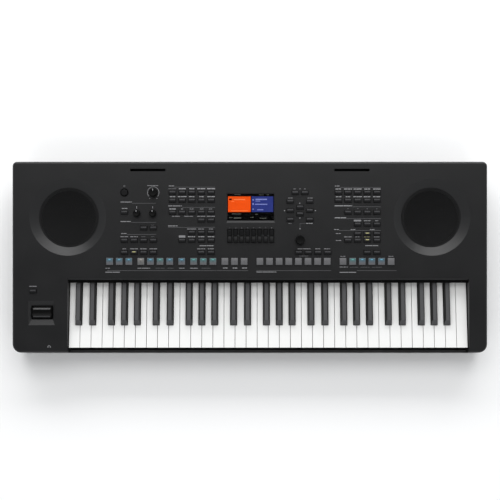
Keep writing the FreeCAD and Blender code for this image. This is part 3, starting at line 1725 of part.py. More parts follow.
def make_pitch_wheel():
    """Pitch wheel with its thumb groove and the bracket that carries its axle."""
    half_width = "wheel_slot_width / 2 + wheel_bracket_gap"
    drum = cylinder(
        "wheel_drum",
        ("wheel_x - wheel_width / 2", "wheel_row", "-(wheel_centre_depth)"),
        "wheel_radius",
        "wheel_width",
        "x",
    )
    axle_length = f"2 * ({half_width} + wheel_bracket_thickness)"
    axle_start = (f"wheel_x - ({axle_length}) / 2", "wheel_row", "-(wheel_centre_depth)")
    axle = cylinder("wheel_axle", axle_start, "wheel_axle_radius", axle_length, "x")
    groove = cylinder(
        "wheel_groove",
        ("wheel_x - wheel_width", "wheel_row", "wheel_rise + wheel_groove_radius - wheel_groove_depth"),
        "wheel_groove_radius",
        "2 * wheel_width",
        "x",
    )
    publish(on_panel(cut("wheel", fuse("wheel_blank", [drum, axle]), groove)), "pitch_wheel")
    base_top = "-(wheel_centre_depth) - wheel_radius - wheel_bracket_gap"
    base_bottom = f"{base_top} - wheel_bracket_thickness"
    plates = [
        box(
            f"bracket_plate_{index}",
            (f"wheel_x + {start}", "wheel_row - wheel_bracket_width / 2", base_bottom),
            ("wheel_bracket_thickness", "wheel_bracket_width", f"wheel_seat - ({base_bottom})"),
        )
        for index, start in enumerate((f"-({half_width}) - wheel_bracket_thickness", half_width))
    ]
    base = block_about(
        "bracket_base",
        "wheel_x",
        "wheel_row",
        base_bottom,
        axle_length,
        "wheel_bracket_width",
        "wheel_bracket_thickness",
    )
    bore = cylinder("bracket_bore", axle_start, "wheel_axle_radius + running_clearance", axle_length, "x")
    publish(on_panel(cut("bracket_bored", fuse("bracket_blank", [*plates, base]), bore)), "wheel_bracket")


def make_electronics():
    """Boards in the lower case and the sockets of the rear and the front."""
    jack_seat = "jack_board_top - board_thickness"
    sheets = [
        block_about("sheet", x, y, seat, width, depth, "board_thickness")
        for (x, y, width, depth), seat in (
            (MAIN_BOARD, "board_seat"),
            (AMP_BOARD, "board_seat"),
            (JACK_BOARD, jack_seat),
        )
    ]
    publish(group("sheets", sheets), "circuit_boards")
    sink = block_about(
        "sink",
        "amp_board_x",
        "amp_board_y",
        "board_seat + board_thickness",
        "amp_sink_width",
        "amp_sink_depth",
        "amp_sink_height",
    )
    publish(sink, "heat_sink")
    bores = ["jack_bore_radius"] * 4 + ["mini_jack_bore_radius", "power_inlet_bore_radius"]
    sockets = []
    for index, (x, radius) in enumerate(zip(socket_places(), bores)):
        block = block_about(
            f"socket_{index}",
            x,
            "jack_rear - jack_length / 2",
            "jack_board_top",
            "jack_size",
            "jack_length",
            "jack_size",
        )
        bore_start = (x, "jack_rear - jack_bore_depth", "jack_height")
        bore = cylinder(f"socket_bore_{index}", bore_start, radius, "jack_length", "y")
        sockets.append(cut(f"socket_bored_{index}", block, bore))
    sockets.append(phones_socket())
    publish(group("sockets", sockets), "jack_sockets")
    ports = []
    for index in range(USB_SOCKETS):
        x = f"usb_x + {index} * usb_pitch"
        port = block_about(
            f"usb_{index}",
            x,
            "jack_rear - usb_length / 2",
            "jack_board_top",
            "usb_width",
            "usb_length",
            "usb_height",
        )
        cavity = block_about(
            f"usb_cavity_{index}",
            x,
            "jack_rear",
            "jack_board_top + usb_shell",
            "usb_width - 2 * usb_shell",
            "2 * usb_cavity_depth",
            "usb_height - 2 * usb_shell",
        )
        ports.append(cut(f"usb_port_{index}", port, cavity))
    publish(group("ports", ports), "usb_sockets")


def phones_socket():
    """Headphone socket in the front of the left cheek."""
    face = "front_edge + jack_inset"
    block = block_about(
        "phones",
        "phones_x",
        f"{face} + jack_length / 2",
        "phones_height - jack_size / 2",
        "jack_size",
        "jack_length",
        "jack_size",
    )
    bore_start = ("phones_x", f"{face} - jack_length + jack_bore_depth", "phones_height")
    bore = cylinder("phones_bore", bore_start, "jack_bore_radius", "jack_length", "y")
    return cut("phones_bored", block, bore)


def check_document():
    """Stop if any object failed or any sub-part is empty or broken."""
    for item in DOCUMENT.Objects:
        if "Invalid" in item.State or "Error" in item.State:
            raise RuntimeError(f"{item.Name} did not recompute: {item.State}")
    for item in SUB_PARTS:
        if item.Shape.isNull() or not item.Shape.isValid() or not item.Shape.Solids:
            raise RuntimeError(f"{item.Label} has no valid solid")


def write_parts():
    """Write one file for each sub-part."""
    os.makedirs("parts", exist_ok=True)
    for item in SUB_PARTS:
        item.Shape.exportStep(f"parts/{item.Label}.step")
        print(f"{item.Label}: {len(item.Shape.Solids)} solids, {item.Shape.Volume / 1000:.1f} cm3")


fill_sheet()
make_lower_case()
make_upper_case()
make_keys()
make_key_bed()
make_buttons()
make_knobs()
make_rockers()
make_display()
make_pitch_wheel()
make_speakers()
make_panel_boards()
make_electronics()
make_feet_and_screws()
DOCUMENT.recompute()
check_document()
write_parts()
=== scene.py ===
"""Finishes and fine detail of the arranger keyboard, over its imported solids.

Sizes are millimetres. Panel places are (x, row): x to the player's right and row up the sloping
panel, both from the middle of the body. Heights over the panel are measured along its normal.
"""

import logging
import math
from dataclasses import dataclass, field, replace
from enum import Enum

import bmesh
import bpy
from mathutils import Matrix, Vector


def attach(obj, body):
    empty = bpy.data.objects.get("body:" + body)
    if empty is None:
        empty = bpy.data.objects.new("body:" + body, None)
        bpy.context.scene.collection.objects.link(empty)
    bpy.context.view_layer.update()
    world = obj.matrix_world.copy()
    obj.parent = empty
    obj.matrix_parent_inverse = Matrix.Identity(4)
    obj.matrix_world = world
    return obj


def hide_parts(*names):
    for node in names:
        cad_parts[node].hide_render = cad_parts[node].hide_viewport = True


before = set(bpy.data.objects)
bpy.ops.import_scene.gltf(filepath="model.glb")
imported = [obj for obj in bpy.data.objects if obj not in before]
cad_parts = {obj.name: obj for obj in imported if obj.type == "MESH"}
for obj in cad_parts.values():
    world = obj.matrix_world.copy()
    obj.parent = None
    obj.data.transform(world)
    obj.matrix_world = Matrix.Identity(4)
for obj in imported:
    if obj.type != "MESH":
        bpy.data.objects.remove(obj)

LOG = logging.getLogger("keyboard")

Place = tuple[float, float]
Point = tuple[float, float, float]
# Middle of a bar across and up the panel, then its width and its depth up the panel.
Mark = tuple[float, float, float, float]
# Points of a half section, as (radius, height).
Section = tuple[Place, ...]

MM = 0.001
SLOPE = math.radians(7.0)
# Height of the panel's middle over the table.
PANEL_RISE = 103.885
# Frames in which pieces are modelled: the table's and the sloping panel's.
TABLE = Matrix.Scale(MM, 4)
PANEL = Matrix.Translation((0.0, 0.0, PANEL_RISE * MM)) @ Matrix.Rotation(SLOPE, 4, "X") @ TABLE
# Body that carries everything that doesn't move.
CASE = "case"
# Edges that bend by more than this stay crisp.
CREASE = math.radians(32.0)
# Points nearer to each other than this are joined.
WELD = 0.0005
# Degrees to one step of a bent strip, and the fewest steps.
ARC_STEP, ARC_LEAST = 6.0, 8
# A Mix node's colour sockets go by number, because its other kinds share their names.
MIX_FIRST, MIX_SECOND, MIX_RESULT = 6, 7, 2
# How strongly reliefs tilt the light, and how ragged the slow variation of a surface is.
RELIEF_STRENGTH = 0.6
DRIFT_DETAIL = 3.0


def linear(code: str) -> tuple[float, float, float, float]:
    """Turn an sRGB hex colour into linear light.

    Args:
        code: Colour such as "#28282A".

    Returns:
        Red, green, blue and an alpha of one.
    """
    channels = [int(code[start : start + 2], 16) / 255.0 for start in (1, 3, 5)]
    red, green, blue = [
        c / 12.92 if c <= 0.04045 else ((c + 0.055) / 1.055) ** 2.4 for c in channels
    ]
    return red, green, blue, 1.0


def add_node(
    tree: bpy.types.NodeTree, kind: str, inputs: dict | None = None, **settings: object
) -> bpy.types.Node:
    """Add a shader node with its settings, values and links.

    Args:
        tree: Node tree of the material.
        kind: Node type.
        inputs: Values or source sockets, by input name or number.
        **settings: Properties of the node.

    Returns:
        The new node.
    """
    made = tree.nodes.new(kind)
    for name, value in settings.items():
        setattr(made, name, value)
    for socket, value in (inputs or {}).items():
        if isinstance(value, bpy.types.NodeSocket):
            tree.links.new(value, made.inputs[socket])
        else:
            made.inputs[socket].default_value = value
    return made


class Relief(Enum):
    """How a surface was made: the texture of its relief, the texture's inputs and its stretch."""

    # Etched mould: soft, even grain.
    MOULDED = ("ShaderNodeTexNoise", {"Detail": 3.0, "Roughness": 0.6}, (1.0, 1.0, 1.0))
    # Baked powder: rounded cells, as on orange peel.
    COATED = ("ShaderNodeTexVoronoi", {"Randomness": 1.0}, (1.0, 1.0, 1.0))
    # Drawn or extruded metal: long lines across the instrument.
    DRAWN = ("ShaderNodeTexNoise", {"Detail": 4.0}, (0.04, 1.0, 1.0))
    # Rubbed along the keys: soft streaks from front to rear.
    POLISHED = ("ShaderNodeTexNoise", {"Detail": 1.0}, (1.0, 0.12, 1.0))
    # Woven or printed through a mesh: regular threads.
    WOVEN = ("ShaderNodeTexWave", {"Distortion": 0.4, "Detail": 1.0}, (1.0, 1.0, 1.0))
    # Felted, pressed or filled: tangled fibres.
    FIBROUS = ("ShaderNodeTexNoise", {"Detail": 8.0, "Distortion": 1.5}, (1.0, 1.0, 1.0))


@dataclass(frozen=True)
class Finish:
    """A real material and how its surface was made.

    Attributes:
        name: Name of the material.
        colour: Main sRGB colour.
        shade: Second sRGB colour of the slow variation.
        roughness: Middle roughness.
        relief: Texture of the surface.
        grain: Size of one cell of the relief, in millimetres.
        depth: Height of the relief, in millimetres.
        swing: How far the roughness goes up and down.
        drift: Size of the slow variation, in millimetres.
        metallic: One for metal.
        ior: Index of refraction.
        coat: Weight of a clear coat.
        sheen: Weight of the fuzz at grazing angles.
        clear: Share of light that passes through.
        glow: Colour of its own light, or nothing.
        glow_strength: Strength of its own light.
    """

    name: str
    colour: str
    shade: str
    roughness: float
    relief: Relief = Relief.MOULDED
    grain: float = 0.6
    depth: float = 0.01
    swing: float = 0.06
    drift: float = 60.0
    metallic: float = 0.0
    ior: float = 1.5
    coat: float = 0.0
    sheen: float = 0.0
    clear: float = 0.0
    glow: str = ""
    glow_strength: float = 0.0

    def material(self) -> bpy.types.Material:
        """Give the material, made on its first use.

        Returns:
            The material.
        """
        found = bpy.data.materials.get(self.name)
        if found:
            return found
        made = bpy.data.materials.new(self.name)
        made.use_nodes = True
        tree = made.node_tree
        tree.nodes.clear()
        shader = self.shade_surface(tree)
        add_node(tree, "ShaderNodeOutputMaterial", {"Surface": shader.outputs[0]})
        return made

    def shade_surface(self, tree: bpy.types.NodeTree) -> bpy.types.Node:
        """Build the surface shader.

        Args:
            tree: Node tree of the material.

        Returns:
            The shader node.
        """
        kind, settings, stretch = self.relief.value
        place = add_node(tree, "ShaderNodeTexCoord").outputs["Object"]
        spread = add_node(tree, "ShaderNodeMapping", {"Vector": place, "Scale": stretch}).outputs[0]
        scale = 1.0 / (self.grain * MM)
        relief = add_node(tree, kind, {"Vector": spread, "Scale": scale, **settings}).outputs[0]
        slow = {"Vector": place, "Scale": 1.0 / (self.drift * MM), "Detail": DRIFT_DETAIL}
        drift = add_node(tree, "ShaderNodeTexNoise", slow).outputs[0]
        levels = {
            "Value": drift,
            "To Min": self.roughness - self.swing,
            "To Max": self.roughness + self.swing,
        }
        roughness = add_node(tree, "ShaderNodeMapRange", levels).outputs[0]
        bump = {"Height": relief, "Strength": RELIEF_STRENGTH, "Distance": self.depth * MM}
        shader = {
            "Base Color": self.paint(tree, place, drift),
            "Roughness": roughness,
            "Metallic": self.metallic,
            "IOR": self.ior,
            "Coat Weight": self.coat,
            "Sheen Weight": self.sheen,
            "Transmission Weight": self.clear,
            "Normal": add_node(tree, "ShaderNodeBump", bump).outputs[0],
        }
        if self.glow:
            shader["Emission Color"] = linear(self.glow)
            shader["Emission Strength"] = self.glow_strength
        return add_node(tree, "ShaderNodeBsdfPrincipled", shader)

    def paint(
        self, tree: bpy.types.NodeTree, place: bpy.types.NodeSocket, drift: bpy.types.NodeSocket
    ) -> bpy.types.NodeSocket:
        """Mix the main colour and the shade along the slow variation."""
        ends = {"Factor": drift, MIX_FIRST: linear(self.colour), MIX_SECOND: linear(self.shade)}
        return add_node(tree, "ShaderNodeMix", ends, data_type="RGBA").outputs[MIX_RESULT]


@dataclass(frozen=True)
class LitFinish(Finish):
    """Frosted plastic that is lit from below at one end of its rows.

    Attributes:
        dark_row: Row at which the light has faded out.
        lit_row: Row at which the light is full.
    """

    dark_row: float = -14.5
    lit_row: float = -5.0

    def paint(
        self, tree: bpy.types.NodeTree, place: bpy.types.NodeSocket, drift: bpy.types.NodeSocket
    ) -> bpy.types.NodeSocket:
        """Fade from the unlit colour to the lit one up the panel.

        Args:
            tree: Node tree of the material.
            place: Socket with the place on the piece.
            drift: Socket with the slow variation; not used.

        Returns:
            Socket with the colour.
        """
        level = {"Vector": place, "Rotation": (-SLOPE, 0.0, 0.0)}
        flat = add_node(tree, "ShaderNodeMapping", level).outputs[0]
        row = add_node(tree, "ShaderNodeSeparateXYZ", {0: flat}).outputs["Y"]
        foot = PANEL_RISE * math.sin(SLOPE)
        ends = {
            "Value": row,
            "From Min": (self.dark_row + foot) * MM,
            "From Max": (self.lit_row + foot) * MM,
        }
        fade = add_node(
            tree, "ShaderNodeMapRange", ends, interpolation_type="SMOOTHSTEP"
        ).outputs[0]
        ends = {"Factor": fade, MIX_FIRST: linear(self.shade), MIX_SECOND: linear(self.colour)}
        return add_node(tree, "ShaderNodeMix", ends, data_type="RGBA").outputs[MIX_RESULT]


@dataclass(frozen=True)
class SeamFinish(Finish):
    """Plastic with a dark line at the height where two mouldings meet.

    Attributes:
        seam: Height of the line's middle.
        gap: Width of the line.
        gap_colour: Colour of the line.
    """

    seam: float = 44.3
    gap: float = 0.6
    gap_colour: str = "#020202"

    def paint(
        self, tree: bpy.types.NodeTree, place: bpy.types.NodeSocket, drift: bpy.types.NodeSocket
    ) -> bpy.types.NodeSocket:
        """Lay the line over the plastic's own colour.

        Args:
            tree: Node tree of the material.
            place: Socket with the place on the piece.
            drift: Socket with the slow variation.

        Returns:
            Socket with the colour.
        """
        plain = super().paint(tree, place, drift)
        height = add_node(tree, "ShaderNodeSeparateXYZ", {0: place}).outputs["Z"]
        band = {0: height, 1: self.seam * MM, 2: self.gap / 2.0 * MM}
        inside = add_node(tree, "ShaderNodeMath", band, operation="COMPARE").outputs[0]
        ends = {"Factor": inside, MIX_FIRST: plain, MIX_SECOND: linear(self.gap_colour)}
        return add_node(tree, "ShaderNodeMix", ends, data_type="RGBA").outputs[MIX_RESULT]


@dataclass(frozen=True)
class SandedFinish(Finish):
    """Plastic with painted light: a top painted lighter as if lit from above, and sides painted
    dark as shade.

    Attributes:
        side: Painted shade of the sides.
        top_lean: How far the top's normals lean to a side at most.
        side_lean: How far the sides' normals lean at least.
    """

    side: str = "#0A0A0A"
    top_lean: float = 0.04
    side_lean: float = 0.16

    def paint(
        self, tree: bpy.types.NodeTree, place: bpy.types.NodeSocket, drift: bpy.types.NodeSocket
    ) -> bpy.types.NodeSocket:
        """Paint shade on the sides.

        Args:
            tree: Node tree of the material.
            place: Socket with the place on the piece.
            drift: Socket with the slow variation.

        Returns:
            Socket with the colour.
        """
        top = super().paint(tree, place, drift)
        normal = add_node(tree, "ShaderNodeTexCoord").outputs["Normal"]
        across = add_node(tree, "ShaderNodeSeparateXYZ", {0: normal}).outputs["X"]
        lean = add_node(tree, "ShaderNodeMath", {0: across}, operation="ABSOLUTE").outputs[0]
        ends = {"Value": lean, "From Min": self.top_lean, "From Max": self.side_lean}
        share = add_node(tree, "ShaderNodeMapRange", ends).outputs[0]
        # Painted shade: sides that lean to either hand take the dark colour, over the top's painted
        # light.
        ends = {"Factor": share, MIX_FIRST: top, MIX_SECOND: linear(self.side)}
        return add_node(tree, "ShaderNodeMix", ends, data_type="RGBA").outputs[MIX_RESULT]


class Finishes:
    """Every finish of the instrument.

    Grain of moulded, plated, drawn and filled surfaces is about 0.1 mm or less, too fine to show.
    It is drawn coarser, at 0.3 to 0.9 mm. Threads, fibres and orange peel are near their real size
    where a comment doesn't say otherwise.
    """

    # Spark-eroded mould: an even satin that spreads reflections into soft light. Its grain is
    # drawn coarser, at 0.7 mm.
    CASE = Finish("satin_black_abs", "#121213", "#161617", 0.42, grain=0.7, depth=0.012, ior=1.44)
    # The same moulding, with a shadow line where the halves of the case meet.
    SEAMED_CASE = SeamFinish(
        "satin_black_abs_with_seam", "#121213", "#161617", 0.42, grain=0.7, depth=0.012, ior=1.44
    )
    # Polished mould: clear, bright reflections, drawn out in slow waves along the key.
    WHITE_KEY = Finish(
        "glossy_white_acrylic",
        "#EFEFED",
        "#F4F4F3",
        0.2,
        Relief.POLISHED,
        grain=14.0,
        swing=0.04,
        coat=0.3,
    )
    # Black mould with painted light: dull tops painted mid grey as if lit from above, with a
    # lengthwise grain, over smooth sides painted dark as shade. Grit marks are about 0.1 mm wide
    # and are drawn coarser, at 0.9 mm.
    BLACK_KEY = SandedFinish(
        "black_abs_painted_lit_top", "#4A4A4B", "#535354", 0.5, Relief.POLISHED, grain=0.9, ior=1.2
    )
    # Etched mould: dull black caps that show by their edges. The etch is drawn coarser, at 0.5 mm.
    BUTTON = Finish(
        "matte_black_abs", "#080809", "#0C0C0D", 0.55, grain=0.5, drift=12.0, ior=1.3
    )
    # Frosted mould: milky grey caps without a highlight. The frost is drawn coarser, at 0.4 mm.
    PAD = Finish(
        "frosted_grey_polycarbonate", "#58585A", "#616163", 0.45, grain=0.4, depth=0.008, drift=9.0
    )
    # The same caps lit from below: a tint that fades out towards the player.
    BLUE_PAD = LitFinish(
        "blue_lit_polycarbonate", "#3B5864", "#5B5B5F", 0.45, grain=0.4, depth=0.008
    )
    # A greener tint, as faint as the blue one.
    TEAL_PAD = replace(BLUE_PAD, name="teal_lit_polycarbonate", colour="#3C5E60", shade="#5B5C5F")
    # A warm grey that is a little lighter than the unlit caps.
    PALE_PAD = replace(BLUE_PAD, name="pale_lit_polycarbonate", colour="#6A6967", shade="#5D5D5D")
    # Clear window over a blue lamp: the brightest spot of the cap.
    BLUE_LAMP = Finish(
        "blue_lit_clear_polycarbonate",
        "#5690A8",
        "#4E88A2",
        0.35,
        glow="#5FA6C8",
        glow_strength=0.14,
        drift=5.0,
    )
    # The same window over a teal lamp.
    TEAL_LAMP = replace(
        BLUE_LAMP,
        name="teal_lit_clear_polycarbonate",
        colour="#549490",
        shade="#4C8C88",
        glow="#5FADA6",
    )
    # The same window over a dim white lamp.
    PALE_LAMP = Finish(
        "pale_lit_clear_polycarbonate",
        "#8E8C88",
        "#868480",
        0.35,
        glow="#B4B0A8",
        glow_strength=0.1,
        drift=5.0,
    )
    # Soft rubber skin: almost black, so that ribs show as faint lines.
    KNOB = Finish("soft_touch_black_rubber", "#050505", "#080808", 0.6, grain=0.4, ior=1.22)
    # Polished mould: one soft highlight on each slope of a rocker.
    ROCKER = Finish(
        "polished_black_abs", "#121213", "#161617", 0.36, grain=0.5, depth=0.006, ior=1.28
    )
    # Rubber over a hard core, painted a lighter grey: a painted highlight on the bands beside the
    # dark hollow, as if they caught the light.
    WHEEL = Finish("grey_rubber_painted_highlight", "#242425", "#2C2C2D", 0.4, grain=0.5, drift=12.0)
    # Smoked windows: a dull grey bar in each cap.
    LENS = Finish(
        "smoked_lens_acrylic", "#303032", "#363638", 0.4, grain=0.5, depth=0.004, drift=6.0
    )
    # The same window with its lamp on: a small pale yellow bar.
    LIT_LENS = Finish(
        "lit_lens_acrylic", "#9C9869", "#949062", 0.3, glow="#B4AF76", glow_strength=0.3, drift=6.0
    )
    # Powder coat over perforated steel: fine rounded orange peel, no clear reflection.
    GRILLE = Finish(
        "powder_coated_steel",
        "#0A0A0B",
        "#0F0F10",
        0.6,
        Relief.COATED,
        grain=0.5,
        depth=0.02,
        ior=1.36,
    )
    # Acoustic cloth behind the holes: woven threads that swallow the light. They are about 0.4 mm
    # apart and are drawn coarser, at 0.8 mm.
    CLOTH = Finish(
        "black_acoustic_cloth",
        "#060607",
        "#0A0A0B",
        0.9,
        Relief.WOVEN,
        grain=0.8,
        depth=0.1,
        sheen=0.2,
    )
    # Painted pressings: dark, with a faint orange peel.
    DARK_STEEL = Finish(
        "painted_pressed_steel", "#101011", "#161617", 0.5, Relief.COATED, grain=0.6, depth=0.02
    )
    # Coated sheet: clear, with hardly a reflection over the picture.
    WINDOW = Finish(
        "anti_reflective_acrylic",
        "#FAFAFA",
        "#FFFFFF",
        0.05,
        Relief.POLISHED,
        grain=30.0,
        depth=0.002,
        swing=0.01,
        ior=1.12,
        clear=1.0,
    )
    # Unlit cells under glass: a deep, even black.
    GLASS_BLACK = Finish(
        "black_display_glass",
        "#040405",
        "#060607",
        0.2,
        grain=0.3,
        depth=0.001,
        swing=0.02,
        ior=1.2,
    )
    # Cells lit from behind: a strong, even orange on the black glass.
    ORANGE = Finish(
        "orange_backlit_liquid_crystal",
        "#A83404",
        "#AE3A06",
        0.4,
        drift=20.0,
        ior=1.2,
        glow="#F25206",
        glow_strength=0.55,
    )
    # The same cells in deep blue, less bright.
    BLUE = replace(
        ORANGE,
        name="blue_backlit_liquid_crystal",
        colour="#182054",
        shade="#1C2664",
        glow="#36428F",
        glow_strength=0.36,
    )
    # Paler cells: light bars on the orange tile.
    PALE_ORANGE = Finish(
        "pale_orange_backlit_liquid_crystal",
        "#C05A28",
        "#C8622E",
        0.4,
        drift=15.0,
        glow="#F07830",
        glow_strength=0.5,
    )
    # Light bars and squares on the blue tile.
    PALE_BLUE = replace(
        PALE_ORANGE,
        name="pale_blue_backlit_liquid_crystal",
        colour="#6E78B4",
        shade="#7680BC",
        glow="#7E88C8",
        glow_strength=0.25,
    )
    # Faint grey bars over and under the tiles.
    DIM_CELLS = replace(
        PALE_ORANGE,
        name="grey_backlit_liquid_crystal",
        colour="#454540",
        shade="#40463C",
        glow="#505049",
        glow_strength=0.12,
    )
    # Screen-printed ink: flat, a little rough where the mesh left its weave. Its threads are about
    # 0.1 mm apart and are drawn coarser, at 0.3 mm.
    INK = Finish("pale_screen_ink", "#777779", "#7F7F81", 0.6, Relief.WOVEN, grain=0.3, depth=0.004)
    # Grey ink: thin lines that step back behind the labels.
    DIM_INK = replace(INK, name="grey_screen_ink", colour="#525254", shade="#5A5A5C")
    # White ink: the marks that are seen first.
    BRIGHT_INK = replace(INK, name="white_screen_ink", colour="#8A8A8C", shade="#929294")
    # Dark ink: soft marks on the grey pads.
    DARK_INK = replace(INK, name="dark_screen_ink", colour="#38383A", shade="#404042")
    # Amber ink: one warm label among the grey ones.
    AMBER_INK = replace(INK, name="amber_screen_ink", colour="#747254", shade="#7D7A5A")
    # Second shot of the moulding: a pale line that can't wear off.
    INLAY = Finish(
        "grey_moulded_inlay", "#8E8E90", "#969698", 0.5, grain=0.5, depth=0.004, drift=5.0
    )
    # Woven glass fibre: a faint grid under the green resist. Its threads are about 0.5 mm apart
    # and are drawn coarser, at 1.2 mm.
    BOARD = Finish(
        "green_resist_on_glass_fibre", "#14532D", "#1B6138", 0.4, Relief.WOVEN, grain=1.2
    )
    # Zinc over drawn steel: bright, with fine lines. They are drawn coarser, at 0.4 mm.
    STEEL = Finish(
        "zinc_plated_steel", "#B4B6BA", "#A4A6AA", 0.35, Relief.DRAWN, grain=0.4, metallic=1.0
    )
    # Nickel over turned brass: warm, clear rings of light.
    NICKEL = Finish(
        "nickel_plated_brass",
        "#C3BFB6",
        "#B5B1A8",
        0.25,
        Relief.DRAWN,
        grain=0.3,
        depth=0.005,
        metallic=1.0,
    )
    # Pressed and fired powder: dull dark grey with small pits.
    FERRITE = Finish(
        "sintered_ferrite", "#1F1F21", "#29292B", 0.7, Relief.FIBROUS, grain=0.8, depth=0.05
    )
    # Pressed pulp: matte black with visible fibres.
    PAPER = Finish(
        "pressed_black_paper", "#121212", "#1A1A1A", 0.8, Relief.FIBROUS, grain=1.5, depth=0.08
    )
    # Needled wool: deep red with a soft fuzz at its edges.
    FELT = Finish(
        "red_needle_felt",
        "#6B1418",
        "#7C1C20",
        0.95,
        Relief.FIBROUS,
        grain=0.7,
        depth=0.2,
        sheen=0.6,
    )
    # Needled wool, partly painted shade: a black line between panel and keys that swallows the
    # light and stands in for the shade under the panel's edge.
    BLACK_FELT = Finish(
        "black_felt_painted_shade",
        "#050505",
        "#080808",
        0.95,
        Relief.FIBROUS,
        grain=0.7,
        depth=0.15,
        ior=1.2,
    )
    # Moulded rubber: dull black, gritty to the touch.
    RUBBER = Finish("moulded_black_rubber", "#0D0D0E", "#151516", 0.8, grain=0.5, depth=0.02)
    # Moulded silicone: silky mid grey.
    SILICONE = Finish("grey_silicone_rubber", "#8A8A8C", "#949496", 0.55)
    # Extruded section: bright, with lines along its length.
    ALUMINIUM = Finish(
        "extruded_aluminium", "#C8CACD", "#B9BBBE", 0.35, Relief.DRAWN, grain=0.5, metallic=1.0
    )
    # Glass-filled moulding: dark, with a faint swirl of fibres.
    NYLON = Finish(
        "black_glass_filled_nylon",
        "#121213",
        "#1A1A1B",
        0.55,
        Relief.FIBROUS,
        grain=0.8,
        depth=0.02,
    )
    # Seamless card: plain white that keeps the shadow.
    FLOOR = Finish(
        "white_studio_card", "#FAFAFA", "#FCFCFC", 0.8, grain=2.0, depth=0.02, drift=400.0
    )


def bar(size: Point, bevel: float = 0.0, segments: int = 2) -> bmesh.types.BMesh:
    """Model a block about the origin with rounded edges.

    Args:
        size: Lengths along x, y and z.
        bevel: Radius of the edges.
        segments: Steps of the rounding.

    Returns:
        The block.
    """
    made = bmesh.new()
    bmesh.ops.create_cube(made, size=1.0, matrix=Matrix.Diagonal((*size, 1.0)))
    if bevel:
        rounding = {"offset": bevel, "segments": segments, "profile": 0.5, "material": -1}
        bmesh.ops.bevel(made, geom=list(made.edges), affect="EDGES", **rounding)
    return made


def turned(
    section: Section, closed: bool = False, angle: float = 360.0, steps: int = 40
) -> bmesh.types.BMesh:
    """Turn a half section about the z axis.

    Args:
        section: Points as (radius, height).
        closed: Whether the last point joins the first, as in a ring.
        angle: How far to turn, in degrees.
        steps: Steps of the turn.

    Returns:
        The turned shape.
    """
    made = bmesh.new()
    points = [made.verts.new((radius, 0.0, height)) for radius, height in section]
    lines = [made.edges.new(pair) for pair in zip(points, points[1:])]
    if closed:
        lines.append(made.edges.new((points[-1], points[0])))
    whole = math.isclose(angle, 360.0)
    way = {"cent": (0.0, 0.0, 0.0), "axis": (0.0, 0.0, 1.0), "angle": math.radians(angle)}
    bmesh.ops.spin(made, geom=points + lines, steps=steps, use_merge=whole, **way)
    bmesh.ops.remove_doubles(made, verts=made.verts, dist=WELD)
    if not whole:
        bmesh.ops.holes_fill(made, edges=made.edges)
    return made


def bent(
    walls: Place, height: float, start: float, angle: float, steps: int | None = None
) -> bmesh.types.BMesh:
    """Model a strip bent about the z axis.

    Args:
        walls: Inner and outer radius.
        height: Height along z.
        start: Angle at which it starts, in degrees from x.
        angle: How far it bends, in degrees.
        steps: Steps of the bend, or nothing for the usual ones.

    Returns:
        The strip, about the middle of its bend and its height.
    """
    (inner, outer), half = walls, height / 2.0
    section = ((inner, -half), (outer, -half), (outer, half), (inner, half))
    made = turned(section, True, angle, steps or max(ARC_LEAST, round(angle / ARC_STEP)))
    made.transform(Matrix.Rotation(math.radians(start), 4, "Z"))
    return made


def arrowhead(radii: Place, height: float) -> bmesh.types.BMesh:
    """Model a flat triangle that points along y.

    Args:
        radii: Radius of its corners below and above.
        height: Its height.

    Returns:
        The triangle, about its middle.
    """
    made = bmesh.new()
    below, above = radii
    ends = {"radius1": below, "radius2": above, "depth": height}
    bmesh.ops.create_cone(made, cap_ends=True, segments=3, **ends)
    return made


class Piece:
    """A new piece of the scene, gathered from modelled shapes in millimetres."""

    def __init__(self, name: str, *finishes: Finish) -> None:
        """Start an empty piece.

        Args:
            name: Name of the piece.
            *finishes: Its finishes.
        """
        self.name = name
        self.finishes = finishes
        self.mesh = bmesh.new()

    def add(
        self,
        shape: bmesh.types.BMesh,
        centre: Point,
        finish: Finish | None = None,
        turn: Matrix | None = None,
    ) -> None:
        """Join a shape to the piece.

        Args:
            shape: Shape about its own origin, used up here.
            centre: Where its origin goes.
            finish: One of the piece's finishes, or nothing for the first.
            turn: Rotation about its own origin.
        """
        bmesh.ops.recalc_face_normals(shape, faces=shape.faces)
        paint = self.finishes.index(finish or self.finishes[0])
        for face in shape.faces:
            face.material_index = paint
            face.smooth = True
        shape.transform(Matrix.Translation(centre) @ (turn or Matrix.Identity(4)))
        scratch = bpy.data.meshes.new("scratch")
        shape.to_mesh(scratch)
        shape.free()
        self.mesh.from_mesh(scratch)
        bpy.data.meshes.remove(scratch)

    def place(
        self, body: str, slot: str, where: Matrix = PANEL, replaces: tuple[str, ...] = ()
    ) -> None:
        """Set the piece down, dress it and let it ride on its body.

        Args:
            body: Body that carries it.
            slot: Material slot that its finish belongs to, or nothing; not used.
            where: Frame in which it was modelled.
            replaces: Nodes that it stands for.
        """
        self.mesh.transform(where)
        mesh = bpy.data.meshes.new(self.name)
        self.mesh.to_mesh(mesh)
        self.mesh.free()
        mesh.set_sharp_from_angle(angle=CREASE)
        for finish in self.finishes:
            mesh.materials.append(finish.material())
        made = bpy.data.objects.new(self.name, mesh)
        bpy.context.scene.collection.objects.link(made)
        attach(made, body)
        if replaces:
            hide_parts(*replaces)
        LOG.info("%s: %d faces on %s", self.name, len(mesh.polygons), body)


def dress(finish: Finish, *nodes: str) -> None:
    """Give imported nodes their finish.

    Args:
        finish: The finish.
        *nodes: Names of the nodes.
    """
    for name in nodes:
        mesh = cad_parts[name].data
        mesh.materials.clear()
        mesh.materials.append(finish.material())
        LOG.info("%s: %s", name, finish.name)


